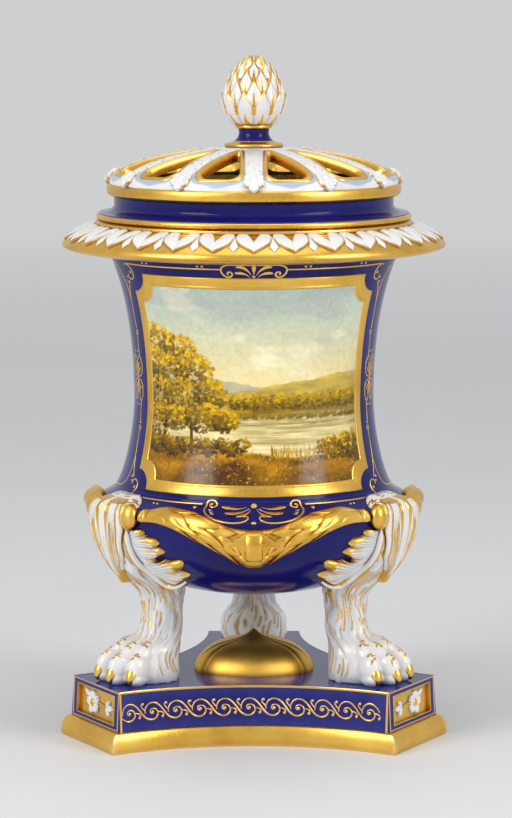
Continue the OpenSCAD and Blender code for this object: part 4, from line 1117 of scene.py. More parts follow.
def sculpt(shape, voxel, rounds, name):
    """One smooth skin over closed patches that overlap; returns its mesh."""
    obj = shape.build(name + "_mass", None, None)
    remesh = obj.modifiers.new("skin", "REMESH")
    remesh.mode, remesh.voxel_size, remesh.use_smooth_shade = "VOXEL", voxel * MM, True
    soft = obj.modifiers.new("soft", "SMOOTH")
    soft.factor, soft.iterations = 0.5, rounds
    graph = bpy.context.evaluated_depsgraph_get()
    mesh = bpy.data.meshes.new_from_object(obj.evaluated_get(graph))
    bpy.data.objects.remove(obj)
    return mesh


def mesh_points(mesh):
    p, n = np.zeros(len(mesh.vertices) * 3, np.float32), np.zeros(len(mesh.vertices) * 3, np.float32)
    mesh.vertices.foreach_get("co", p)
    mesh.vertex_normals.foreach_get("vector", n)
    return p.reshape(-1, 3).astype(float) / MM, n.reshape(-1, 3).astype(float)


def leg_mesh():
    """One leg along +x: shank and toes in one skin, with its painting and painted shade as point values."""
    mass = Shape()
    z = np.concatenate([np.linspace(LEG_LOW, ANKLE_Z, 26), np.linspace(ANKLE_Z, LEG_TOP, 60)[1:]])
    less = 9.0 * (1 - smooth(z, 38, 47))
    body = off_bowl(leg_skin(z[:, None], np.arange(0, 360, 4)[None, :], 0.0, less[:, None]), 0.0)
    body[:, :, 1] *= (1 - 0.10 * (1 - smooth(z, 36, 46)))[:, None]
    ends = []
    for end in (body[:1], body[-1:]):
        middle = end[..., :2].mean(1, keepdims=True)
        ends.append(np.concatenate([middle + 1e-3 * (end[..., :2] - middle), end[..., 2:]], -1))
    mass.patch(np.concatenate([ends[0], body, ends[1]]), close_cols=True)
    for angle, size in TOES:
        tip, way, yaw = toe_frame(angle)
        # knuckle, root and pad: how far back and up, half sizes, tilt
        for back, up, radii, tilt in ((7.6, 1.2, (8.0 * size, 4.75, 7.2), 12), (13.0, 6.6, (7.5, 4.2, 5.6), 24),
                                      (5.4, -3.2, (6.2, 4.3, 3.6), 0)):
            mass.patch(ball(tip - way * back * size + (0, 0, up), radii, tilt, yaw), close_cols=True)
    mesh = sculpt(mass, 0.5, 7, "leg")
    p, n = mesh_points(mesh)
    zz = p[:, 2]
    inside = np.clip(zz, LEG_LOW, LEG_TOP)
    phi = np.degrees(np.arctan2(p[:, 1], p[:, 0] - (station(inside, 1) + station(inside, 2)) / 2))
    around = np.radians(phi) * 10.0

    # fur: wavy locks down the shank, gilt in streaks between them
    wave = 3.4 * (noise(around / 6, zz / 9, seed=61) - 0.5) + 0.9 * np.sin(zz / 4.2 + around / 5)
    lock = noise((around + wave) / 1.6, zz / 8.5, seed=63)
    fine = noise((around + wave) / 0.85, zz / 5.5, seed=65)
    patchy = fractal((around + wave) / 4.5, zz / 11.0, seed=67, octaves=3)
    shank = smooth(zz, 42, 50) * (1 - smooth(zz, 84, 92))
    rear = smooth(np.abs(phi), 80, 110)
    furry = np.maximum(shank, rear * (zz < 60))
    p += n * (furry * (0.9 * (lock - 0.5) + 0.4 * (fine - 0.5)))[:, None]
    low = smooth(zz + 8 * (patchy - 0.5), 44, 58)
    # hairs: tapering strokes side by side, each drawn in short runs
    stroke = (around + wave) / 1.35
    row = np.floor(stroke)
    drawn = smooth(noise(row, zz / 4.2 + 0.37 * row, seed=75), 0.37, 0.56)
    hair = drawn * near(stroke - row, 0.5, 0.08 + 0.12 * drawn, 0.16)
    wash = 0.55 * (1 - lock) + 0.25 * (1 - fine) + 0.6 * patchy + 0.09 * smooth(zz, 60, 76)
    gilt = shank * low * np.maximum(hair * smooth(patchy, 0.42, 0.54), smooth(wash, 0.93, 1.0))
    behind = rear * smooth(zz, 28, 31)
    brown = 0.16 * smooth(0.6 * (1 - fine) + 0.6 * (1 - lock), 0.76, 0.88) + 0.8 * hair
    umber = np.maximum(shank, behind * (zz < 60)) * np.maximum(smooth(zz, 38, 46), behind) * brown
    # painted shade: pale blue in the grooves between the fur's locks
    tint = shank * smooth(lock, 0.70, 0.30) * 0.30

    # toes: gold ticks across them, in two rows
    for angle, _ in TOES:
        tip, way, _ = toe_frame(angle)
        d = p - tip
        along, across = -(d[:, 0] * way[0] + d[:, 1] * way[1]), d[:, 1] * way[0] - d[:, 0] * way[1]
        top = smooth(n[:, 2], -0.25, 0.10) * (np.abs(across) < 4.2) * (zz > 34.0)
        for at, side, tilt in ((2.3, -0.9, 0.2), (3.8, 0.7, 0.25), (5.2, -0.6, 0.15), (9.4, 0.8, 0.2),
                               (10.9, -0.7, 0.25), (12.5, 0.5, 0.2)):
            tick = near(along - tilt * across, at, 0.38, 0.24) * near(across, side, 1.45, 0.40)
            gilt = np.maximum(gilt, tick * top)
    # painted shade: pale blue on the toes' undersides, near the ground
    cleft = smooth(-n[:, 2], 0.3, 0.9) * (1 - smooth(zz, 28.5, 31))
    heel = smooth(zz, 43, 36) * smooth(np.abs(phi), 95, 125) * smooth(patchy, 0.50, 0.62)
    mesh.vertices.foreach_set("co", (p * MM).astype(np.float32).ravel())
    set_values(mesh, "gilt", gilt)
    set_values(mesh, "tint", np.clip(tint + 0.3 * cleft, 0, 1))
    set_values(mesh, "umber", np.clip(np.maximum(umber, 0.16 * heel), 0, 1))
    mesh.update()
    return mesh


def make_claws():
    claws = Shape()
    for angle, _ in TOES:
        tip, way, yaw = toe_frame(angle)
        claws.patch(ball(tip - way * 1.15 + (0, 0, -1.2), (2.5, 2.6, 4.4), -16, yaw, 18, 24), close_cols=True)
    return claws


def hem(shape, *pairs):
    """Gilt strips between pairs of lines, round the edge of a leaf."""
    for a, b in pairs:
        shape.patch(np.stack([a, b], 1), gilt=1.0)
    return shape


KNEE_LEAF_LOW, KNEE_LEAF_TOP = 70.2, 110.4


def knee_leaf():
    """Leaf down the front of a knee: a roll along its middle, panels at both sides, a gilt tip that curls out."""
    t, v = grid(140, 181)
    w = np.abs(v) + 0 * t
    z = KNEE_LEAF_LOW + (KNEE_LEAF_TOP - KNEE_LEAF_LOW) * t + 0 * v
    half = (60 * smooth(0.12 + 1.1 * t) ** 0.7 * (1 - 0.10 * np.abs(np.sin(np.pi * 3.0 * t)) ** 1.6)
            * (1 - 0.16 * smooth(t, 0.84, 1.0)))
    phi = np.degrees(np.arcsin(np.clip(np.sin(np.radians(half)) * w ** (station(z, 4) / 2), 0, 1))) * np.sign(v)
    edge = arch(w ** 10) * smooth(t, 1.0, 0.965)
    curl = np.maximum(0, 1 - t / 0.24) ** 2
    relief = (0.75 * np.maximum(0, 1 - (w / 0.19) ** 2) ** 0.7 - 0.35 * bell(w - 0.215, 0.03)
              + 0.45 * np.sin(np.pi * np.clip((w - 0.22) / 0.50, 0, 1)) - 0.40 * bell(w - 0.735, 0.028)
              + 0.70 * np.maximum(0, 1 - ((w - 0.875) / 0.115) ** 2) ** 0.7)
    hollow = np.hypot((w - 0.53) / 0.055, (t - 0.60) / 0.085)
    relief = relief - 0.45 * (1 - smooth(hollow, 0.5, 1.0)) + 0.25 * near(hollow, 1.15, 0.15, 0.3)
    p = leg_skin(z, phi, 0.15 + edge * (1.35 + relief) + 4.0 * curl)
    p[..., 2] += 1.6 * curl * (1 - v ** 2) + 2.4 * w ** 3 * (1 - t)
    p = off_bowl(p, 0.2)

    # gilt lines along the roll, the panels and the edge
    broad = 0.024 + 0.085 * smooth(t, 0.55, 0.97)
    line = np.maximum.reduce([
        near(w, 0.225 + 0.045 * smooth(t, 0.6, 1.0), broad, 0.016) * smooth(t, 0.10, 0.20),
        near(t, 0.985, 0.022, 0.012) * smooth(w, 0.17, 0.24),
        near(w, 0.41, 0.008, 0.014) * smooth(t, 0.32, 0.38) * smooth(t, 0.93, 0.86) * 0.95,
        near(hollow, 1.0, 0.13, 0.22) * 0.95,
        near(w, 0.53 - 0.16 * smooth(t, 0.52, 0.18), 0.016, 0.014) * smooth(t, 0.10, 0.16) * smooth(t, 0.53, 0.50),
        near(w, 0.725, 0.014, 0.014),
        near(w, 0.80, 0.006, 0.012) * smooth(t, 0.30, 0.40),
        smooth(w, 0.955, 0.972)])
    # streaks and flowing lines in the panels, the gilt tip, brown dots and shading
    streak = smooth(noise(w * 24 + 3 * np.sin(5 * t), t * 5, seed=71) + 0.5 * smooth(t, 0.34, 0.05), 0.62, 0.78)
    lower = streak * smooth(t, 0.56, 0.34) * smooth(w, 0.24, 0.30) * smooth(w, 0.72, 0.60)
    flow = (near(noise(w * 13 + 1.2 * np.sin(4.5 * t + 1), t * 3.2, seed=79), 0.5, 0.06, 0.03)
            * smooth(w, 0.26, 0.32) * smooth(w, 0.71, 0.66))
    zone = (smooth(w, 0.40, 0.46) * smooth(w, 0.68, 0.62) * smooth(t, 0.10, 0.20) * smooth(t, 0.86, 0.66)
            * smooth(hollow, 1.0, 1.2))
    lower = np.maximum(lower, zone * smooth(noise(w * 30 + 3 * np.sin(4 * t), t * 4.5, seed=85), 0.46, 0.58))
    tipped = smooth(t, 0.135, 0.09) + smooth(t, 0.20, 0.14) * smooth(w, 0.15, 0.3)
    gilt = np.clip(np.maximum.reduce([line, 0.95 * lower, tipped, 0.9 * flow * smooth(t, 0.9, 0.7)]), 0, 1)
    beat = np.abs((t * 34) % 1 - 0.5)
    dots = np.maximum((beat < 0.24) * near(w, 0.345, 0.016, 0.010) * (t > 0.40) * (t < 0.66),
                      (beat < 0.20) * near(w, 0.08, 0.012, 0.010) * (t > 0.40) * (t < 0.58))
    shade = (0.75 * smooth(t, 0.70, 0.30) * smooth(noise(w * 18, t * 6, seed=73), 0.45, 0.7)
             * smooth(w, 0.22, 0.3) * smooth(w, 0.95, 0.8))
    umber = np.clip(np.maximum.reduce([0.95 * dots, shade, 0.45 * zone]), 0, 1)
    # painted shade: pale blue in the grooves beside the roll and the panels, and in the sunk loop
    pool = 0.35 * bell(w - 0.215, 0.05) + 0.30 * bell(w - 0.735, 0.04) + 0.25 * (1 - smooth(hollow, 0.6, 1.0))
    under = off_bowl(leg_skin(z, phi, 0.1 + 2.6 * curl), 0.12)
    under[..., 2] = p[..., 2]
    sheet = Shape().patch(p, gilt=gilt, umber=umber, tint=np.clip(pool, 0, 1))
    sheet.patch(under[::4, ::6], flip=True, gilt=1.0)
    return hem(sheet, (under[:, 0], p[:, 0]), (p[:, -1], under[:, -1]), (under[0], p[0]), (p[-1], under[-1]))


def bowl_place(az, z, out):
    """Point off the bowl's face, measured from the leg's middle."""
    az, z, out = spread(az, z, out)
    slope = (bowl_radius(z + 0.3) - bowl_radius(z - 0.3)) / 0.6
    k = 1 / np.sqrt(1 + slope ** 2)
    return raised(polar(bowl_radius(z) + out * k, az), z - out * slope * k)


def lobe(root, edge, seed):
    """Fan-shaped lobe of an acanthus leaf on the bowl; root and edge are lines of [degrees from the leg,
    height, stand-off]."""
    scallops, depth, lift, cols = 4, 0.30, 0.5, 145
    t, s = grid(48, cols, 0.0)
    a, b = resample(rounded(root, 8), cols), resample(rounded(edge, 8), cols)
    bump, share = np.abs(np.sin(np.pi * scallops * s)), (scallops * s) % 1
    hook = np.where(share < 0.64, (share / 0.64) ** 0.85, (np.maximum(0, 1 - share) / 0.36) ** 0.75)
    reach = t * (1 - depth * (1 - 0.45 * hook - 0.55 * bump ** 0.6) * smooth(t, 0.25, 1.0))
    line = a[None] * (1 - reach[..., None]) + b[None] * reach[..., None]
    round_off = arch(past(t, 0.80, 0.201) ** 2) * arch(np.abs(2 * s - 1) ** 14)
    wander = 1.1 * (noise(s * 7, t * 2.5, seed=seed + 2) - 0.5) + 0.4 * (1 - t)
    veins = np.cos(2 * np.pi * (4 * scallops * s + wander))
    flute = bump ** 0.7 * smooth(t, 0.15, 0.75) * (1 - 0.45 * smooth(t, 0.7, 1.0))
    roll = smooth(t, 0.55, 0.82)
    relief = 0.85 * flute + 0.13 * veins * smooth(t, 0.1, 0.3) * (1 - roll) + 0.8 * lift * roll * bump ** 0.5
    p = bowl_place(line[..., 0], line[..., 1], 0.1 + round_off * (line[..., 2] + relief))
    foot = bowl_place(line[..., 0], line[..., 1], 0.05)

    # gold tips split at the notches, gold stripes along the veins, brown in the notches, painted pale-blue shade
    # between the flutes
    upper = smooth(s, 0.30, 0.60) * smooth(s, 1.0, 0.94)
    ragged = 0.10 * (noise(s * 40, 0 * s, seed=seed) - 0.5)
    from_t = 0.90 - 0.12 * upper + 1.6 * ragged
    notch = (1 - bump) ** 2.5 * smooth(t, 0.40, 0.8)
    gold = smooth(t, from_t - 0.03, from_t + 0.03) * (1 - 0.85 * smooth(notch, 0.12, 0.5))
    stripe = (smooth(-veins, 0.35, 0.75) * smooth(t, 0.42 - 0.14 * upper, 0.70)
              * smooth(noise(s * 34, t * 4, seed=seed + 1), 0.26, 0.46))
    brown = np.maximum(0.85 * notch * (1 - 0.6 * gold), 0.38 * smooth(-veins, 0.1, 0.7) * smooth(t, 0.30, 0.60))
    # painted shade: pale blue between the flutes, where the lobe's relief is low
    blue = 0.32 * (1 - flute) * smooth(t, 0.05, 0.3) * (1 - gold)
    shape = Shape().patch(p, flip=True, gilt=np.clip(np.maximum(gold, stripe), 0, 1), umber=np.clip(brown, 0, 1),
                          tint=np.clip(blue, 0, 1))
    return hem(shape, (foot[:, 0], p[:, 0]), (p[:, -1], foot[:, -1]), (p[0], foot[0]), (foot[-1], p[-1]))


def leaf_rib():
    """Long white rib with gilt edges from beside the knob down the leg's side and out under the leaf."""
    on_leg = [leg_skin(z, phi, 0.5) for z, phi in ((99, 66), (93, 65), (87, 66), (82.5, 70), (78.8, 78))]
    on_bowl = [bowl_place(*at) for at in ((16.6, 75.0, 3.4), (21, 74.4, 3.4), (26, 75.4, 2.8), (30.5, 77.2, 1.8))]
    line = resample(rounded(np.array([q.ravel() for q in on_leg + on_bowl]), 8), 130)
    t = np.linspace(0, 1, len(line))
    k = smooth(t, 0.45, 0.72)[:, None]
    outward = line * (1, 1, 0) / np.linalg.norm(line[:, :2], axis=1, keepdims=True) + (0, 0, -0.75)
    normal = (1 - k) * np.array([0.35, 1.0, 0.0]) + k * outward
    normal /= np.linalg.norm(normal, axis=1, keepdims=True)
    size = smooth(t, -0.02, 0.10) * (1 - 0.55 * smooth(t, 0.55, 1.0))
    p = ribbon(line, normal, 3.4, 1.5, 17, size)
    s = np.abs(np.linspace(-1, 1, 17))[None, :]
    # painted shade: pale blue down the sides of the rib
    return Shape().patch(p, gilt=smooth(s, 0.62, 0.76), tint=0.12 * smooth(s, 0.3, 0.6))


def moved(shape, move, flip=False):
    """The same patches with their points moved; flip turns their faces over."""
    twin = Shape()
    twin.points, twin.values, twin.count = [move(p) for p in shape.points], list(shape.values), shape.count
    twin.quads = [q[:, ::-1] if flip else q for q in shape.quads]
    return twin


def mirrored(shape):
    """The same patches on the other side of the leg."""
    return moved(shape, lambda p: p * (1, -1, 1), True)


def merged(*shapes):
    """All the patches of some shapes as one shape."""
    whole = Shape()
    for s in shapes:
        whole.points += s.points
        whole.values += s.values
        whole.quads += [q + whole.count for q in s.quads]
        whole.count += s.count
    return whole


def copies(shape, degrees):
    """The same patches turned about the axis."""
    return moved(shape, lambda p: turn(p, degrees))


def knob(side):
    """Oval gilt knob on one side of a knee, standing on a narrow foot ring."""
    b = np.linspace(0, 2 * np.pi, 49)[:-1]
    profile = [(0.75, -6.0), (0.95, -3.0), (1.10, -0.6), (1.13, 0.2), (1.11, 0.7), (1.03, 1.0), (0.97, 1.1)] + [
        (math.cos(k), 1.1 + 4.9 * math.sin(k)) for k in np.linspace(0.10, np.pi / 2 - 0.01, 22)]
    p = np.array([np.column_stack([KNEE_REACH - 3.6 + 3.9 * w * np.cos(b), np.full_like(b, side * (KNEE_W / 2 + h)),
                                   KNEE_Z + 5.6 * w * np.sin(b)]) for w, h in profile])
    return Shape().patch(p, close_cols=True, flip=side > 0)


def make_legs():
    leg, claws, leaf = leg_mesh(), make_claws(), knee_leaf()
    upper = lobe([(11.4, 84.0, 2.4), (10.6, 90.0, 2.6), (10.8, 97.0, 2.2)],
                 [(14.5, 83.4, 1.4), (20.5, 84.6, 1.3), (24.5, 87.6, 1.3), (27.8, 92.0, 1.2), (23.8, 95.2, 1.3),
                  (20.4, 98.0, 1.2), (16.8, 99.2, 1.3), (13.4, 98.2, 1.6)], 81)
    lower = lobe([(15.2, 75.2, 2.6), (13.2, 79.0, 2.8), (12.0, 84.0, 2.4)],
                 [(21.0, 74.6, 1.6), (28.0, 76.0, 1.4), (32.6, 78.4, 1.3), (34.6, 82.2, 1.2), (32.4, 86.2, 1.2),
                  (27.4, 86.8, 1.2), (21.6, 85.2, 1.4)], 83)
    spray = merged(lower, upper, leaf_rib())
    sprays, knobs = merged(spray, mirrored(spray)), merged(knob(1), knob(-1))
    for name, az in LEG_AZ.items():
        copy = leg.copy()
        p, _ = mesh_points(copy)
        copy.vertices.foreach_set("co", (turn(p, az) * MM).astype(np.float32).ravel())
        copy.update()
        place(copy, f"leg_{name}_porcelain", WHITE, "vase", f"leg_{name}")
        copies(claws, az).build(f"claws_{name}", GOLD)
        for kind, shape in (("knee_leaf", leaf), ("side_leaves", sprays)):
            copies(shape, az).build(f"{kind}_{name}_porcelain", WHITE, "vase", f"{kind}_{name}", "white_porcelain")
        copies(knobs, az).build(f"knobs_{name}_gilt", GOLD, "vase", f"knobs_{name}", "gilding")


make_legs()


# Garlands

# degrees from the tie to a swag's end, just short of a knob
SWAG_HALF = 60 - math.degrees(math.atan((KNEE_W / 2 + 0.15 + 6.24) / (KNEE_REACH - 3.6))) - 0.8
# share of the way from the tie to a knob, height of the swag's middle, half its thickness
SWAG = rounded([(-0.05, 94.0, 8.0), (0.0, 93.95, 8.05), (0.05, 94.0, 8.0), (0.12, 94.9, 7.3), (0.20, 96.4, 6.5),
                (0.316, 98.8, 5.7), (0.448, 101.1, 4.8), (0.606, 103.4, 3.6), (0.77, 104.9, 2.8), (0.90, 104.6, 2.2),
                (1.0, 103.9, 1.8)], 10)


def swag(v, b, out):
    """Point of a swag's skin: v runs from -1 to 1 between the knobs, b from -90 to 90 over its round front."""
    v, b, out = spread(v, b, out)
    middle, half = np.interp(np.abs(v), SWAG[:, 0], SWAG[:, 1]), np.interp(np.abs(v), SWAG[:, 0], SWAG[:, 2])
    front = np.maximum(0, np.cos(np.radians(b)))
    rise = 0.1 + 6.0 * (0.36 + 0.58 * half / 8.8) * front ** 0.72 + out * (0.25 + 0.75 * front)
    return bowl_place(v * SWAG_HALF, middle + half * np.sin(np.radians(b)), rise)


def laurel(base, tip, b0, b1, width, lift, crown):
    """Smooth leaf laid on a swag from v = base to v = tip, with a faint midrib and a raised, hooked point."""
    t, s = grid(46, 27)
    wide = width * np.sin(np.pi * np.clip(0.14 + 0.86 * t, 0, 1)) ** 0.8
    b = b0 + (b1 - b0) * t ** 2 + wide * s
    v = base + (tip - base) * (t + 0.05 * (1 - np.abs(s)) * t)
    edge = arch(np.abs(s) ** 12) * arch(past(t, 0.94, 0.061) ** 2)
    rise = (crown * (0.62 + 0.38 * np.cos(np.pi * s * 0.5)) * smooth(t, 0.0, 0.45)
            - 0.25 * bell(s, 0.09) * smooth(t, 0.15, 0.5))
    return swag(v, np.clip(b, -89, 89), -0.1 + edge * (rise + lift * smooth(t, 0.45, 1.0)))


def make_garland():
    core = Shape()
    b = np.linspace(-90, 90, 44)[None, :]
    core.patch(swag(np.linspace(-1, 1, 240)[:, None], b, -0.2), flip=True)
    for s in (-1, 1):
        # small ring on the stem, beside the knob
        stem = np.linspace(0.92, 1.0, 26)[:, None]
        core.patch(swag(s * stem, b, 0.95 * bell(stem - 0.965, 0.011)), flip=s > 0)
        # three overlapping whorls of long leaves, tips towards the tie; the whorl by the knob lies on top
        for base, tip, out in ((0.42, 0.135, 0.0), (0.68, 0.27, 0.1), (0.94, 0.46, 0.25)):
            for b0, b1, late, crown in ((42, 58, 0.0, 1.1), (-40, -62, 0.02, 1.1), (2, -8, 0.10, 1.5)):
                leaf = laurel(s * (base - late), s * (tip - 0.35 * late), b0, b1, 33, 1.0 + out, crown)
                core.patch(leaf, flip=s > 0)
    # tie: a smooth round band between two ribbon folds, over a round pad
    t = np.linspace(-1, 1, 60)[:, None]
    pad = 0.9 * (1 - t ** 2) ** 0.5 * smooth(np.sin(np.radians(b)), 0.1, -0.45)
    core.patch(swag(t * 0.12, b, pad - 0.1), flip=True)
    upper = np.linspace(-24, 89, 44)[None, :]
    close = arch(past(-upper, 12, 12.001) ** 2)
    swell = 1.3 * (1 - np.abs(t) ** 12) ** 0.5 + 1.6 * np.maximum(0, 1 - t ** 2) ** 0.6
    core.patch(swag(t * 0.070, upper, -0.1 + close * swell), flip=True)
    k, w = grid(36, 41)
    hem_line = bell(w + 0.88, 0.13) + 0.8 * bell(w - 0.90, 0.12) + 0.55 * bell(w, 0.16) * (1 - k)
    edge = arch(np.abs(w) ** 16) * arch(past(k, 0.88, 0.121) ** 2)
    span = 46 * (1 - k) ** 0.9 + 1.5
    for s in (-1, 1):
        core.patch(swag(s * (0.060 + 0.130 * k), 16 - 8 * k + span * w, (0.9 + 0.9 * k + hem_line) * edge), flip=s < 0)
    for name, az in SIDE_AZ.items():
        copies(core, az).build(f"garland_{name}_gilt", GOLD, "vase", f"garland_{name}", "gilding")


make_garland()


# Rim, cover and finial

def rim_place(t, a, out):
    """Point off the rim's upper curve: t along it from the ring outwards, a round it."""
    t, a, out = spread(t, a, out)
    at, steps = t * (len(RIM_TOP) - 1), np.arange(len(RIM_TOP))
    slope = np.gradient(RIM_TOP, axis=0)
    r, z = np.interp(at, steps, RIM_TOP[:, 0]), np.interp(at, steps, RIM_TOP[:, 1])
    dr, dz = np.interp(at, steps, slope[:, 0]), np.interp(at, steps, slope[:, 1])
    size = np.hypot(dr, dz)
    return raised(polar(r - out * dz / size, a), z + out * dr / size)


RIM_LEAVES, RIM_LEAF_START, RIM_LEAF_LENGTH = 30, 0.05, 0.74
# half width of a rim leaf, as a share, along its length
LEAF_SIDE = rounded([(0.0, 0.90), (0.2, 0.965), (0.38, 0.985), (0.52, 0.92), (0.65, 0.73), (0.78, 0.47), (0.90, 0.20),
                     (1.0, 0.0)], 8)


def make_rim_leaves():
    """Heart-shaped leaves with a cleft from above and a pointed tip, and a small dart between each two."""
    shape, pitch, start, length = Shape(), 360 / RIM_LEAVES, RIM_LEAF_START, RIM_LEAF_LENGTH
    t, s = np.linspace(0, 1, 44)[:, None], np.sin(np.linspace(0, np.pi / 2, 23))[None, :]
    outer = np.interp(t, LEAF_SIDE[:, 0], LEAF_SIDE[:, 1]) * pitch / 2
    inner = pitch / 2 * 0.34 * np.maximum(0, 1 - t / 0.50) ** 1.2
    across = inner + (outer - inner) * s
    round_in = arch(past(-s, -0.22, 0.22) ** 2 * smooth(t, 0.52, 0.36))
    edge = arch(s ** 14) * round_in * arch(past(t, 0.86, 0.14) ** 2) * smooth(t, -0.02, 0.05)
    crown = 0.04 + edge * (0.68 + 0.18 * np.sin(np.pi * np.clip(s, 0, 1)) - 0.08 * bell(across, 0.6)
                           + 0.25 * smooth(t, 0.7, 0.95))
    degree = 1.42
    mm = across * degree
    brown = np.maximum(
        smooth(mm, outer * degree - 1.15, outer * degree - 0.85) * smooth(t, 0.30, 0.45),
        0.8 * (1 - smooth(mm - inner * degree, 0.10, 0.40)) * smooth(t, 0.60, 0.50) * smooth(t, 0.02, 0.10))
    dt, ds = grid(26, 17)
    wide = 1.55 * np.maximum(0, 1 - np.abs(dt - 0.66) / np.where(dt < 0.66, 0.68, 0.35)) ** 1.2
    wide = wide + 0.10 * smooth(dt, 1.0, 0.8)
    bulge = 0.03 + arch(np.abs(ds) ** 4) * (0.50 + 0.25 * np.cos(np.pi * ds / 2)) * arch((2 * dt - 1) ** 6)
    for k in range(RIM_LEAVES):
        a = k * pitch + FRONT
        for side in (1, -1):
            # painted shade: pale blue round each leaf's edge, where it falls to the rim
            shape.patch(rim_place(start + length * t, a + side * across, crown), flip=side > 0,
                        umber=np.clip(brown, 0, 1), tint=0.25 * (1 - edge))
        shape.patch(rim_place(start + length * (0.30 + 0.66 * dt), a + pitch / 2 + wide * ds, bulge), flip=True,
                    umber=0.9 * smooth(np.abs(ds), 0.70, 0.9))
    shape.build("rim_leaves_porcelain", WHITE, "vase", "rim_leaves", "white_porcelain")


STRAPS, STRAP_STEP, STRAP_HALF = 12, 30, 4.2
OPENING_OUT, OPENING_IN, OPENING_CORNER, DOME_FLAT_R = 62.6, 22, 5.0, 13.5


def opening_line(inset):
    """Outline of an opening about the +x axis, drawn in by inset, always with the same number of points."""
    half, off, corner_r = math.radians(STRAP_STEP / 2), STRAP_HALF + inset, OPENING_CORNER
    out_r = OPENING_OUT - inset
    in_r = max(OPENING_IN + inset, (off + 0.5) / math.sin(half))
    tip_a = half - math.asin(off / in_r)
    corner_a = half - math.asin((off + corner_r) / (out_r - corner_r))
    corner = (out_r - corner_r) * np.array([math.cos(corner_a), math.sin(corner_a)])
    wide = polar(out_r, np.degrees(np.linspace(0, corner_a, 16)))[:-1]
    bend = corner + polar(corner_r, np.degrees(corner_a + np.linspace(0, math.pi / 2 + half - corner_a, 26)))
    tip = in_r * np.array([math.cos(tip_a), math.sin(tip_a)])
    t = np.linspace(0, 1, 31)[1:, None]
    strap = bend[-1] * (1 - t) + tip * t
    end = polar(in_r, np.degrees(np.linspace(tip_a, 0, 7)[1:-1]))
    upper = np.vstack([wide, bend, strap, end])
    return np.vstack([upper, [[in_r, 0]], upper[::-1][:-1] * (1, -1)])


def over_dome(xy, out):
    """Plan points raised to the dome's outside, stood off by out along its face."""
    xy = np.asarray(xy, float)
    r = np.maximum(np.hypot(xy[..., 0], xy[..., 1]), 1e-6)
    clipped = np.clip(r, DOME_FLAT_R, DOME_R - 0.02)
    slope = (dome_height(np.minimum(clipped + 0.1, DOME_R - 0.005)) - dome_height(clipped - 0.1)) / 0.2
    k = 1 / np.sqrt(1 + slope ** 2)
    out = np.broadcast_to(np.asarray(out, float), r.shape)
    return raised(xy * ((r - out * slope * k) / r)[..., None], dome_height(clipped) + out * k)


def opening_gap(r, a):
    """Distance in plan from points to the edge of the nearest opening; less than 0 inside it."""
    local = np.radians(np.abs((a - FRONT) % STRAP_STEP - STRAP_STEP / 2))
    p = np.stack([r * np.cos(local), r * np.sin(local)], -1)[..., None, :]
    line = opening_line(0.0)
    way = np.roll(line, -1, 0) - line
    k = np.clip(((p - line) * way).sum(-1) / (way ** 2).sum(-1), 0, 1)
    far = np.linalg.norm(p - line - k[..., None] * way, axis=-1).min(-1)
    x, y, rise = p[..., 0], p[..., 1], np.where(np.abs(way[:, 1]) < 1e-9, 1e-9, way[:, 1])
    crossing = ((line[:, 1] > y) != (np.roll(line[:, 1], -1) > y)) & (
        x < line[:, 0] + way[:, 0] * (y - line[:, 1]) / rise)
    return np.where(crossing.sum(-1) % 2 == 1, -far, far)


def strap_rise(gap, r):
    """How far the dome's white straps swell above its face."""
    swell = np.sqrt(np.clip(1 - (1 - np.clip(gap / 3.4, 0, 1)) ** 2, 0, 1))
    return 0.62 * swell * smooth(r, 14.2, 19) * smooth(r, DOME_R, DOME_R - 1.4)


def dome_steps(radius, bend, steps, bend_steps):
    """Radii across a dome, closer together where it bends down to its edge."""
    close = np.sin(np.linspace(0, np.pi / 2, bend_steps))[1:]
    return np.concatenate([[0.01, 8], np.linspace(DOME_FLAT_R, bend, steps), bend + (radius - bend) * close])


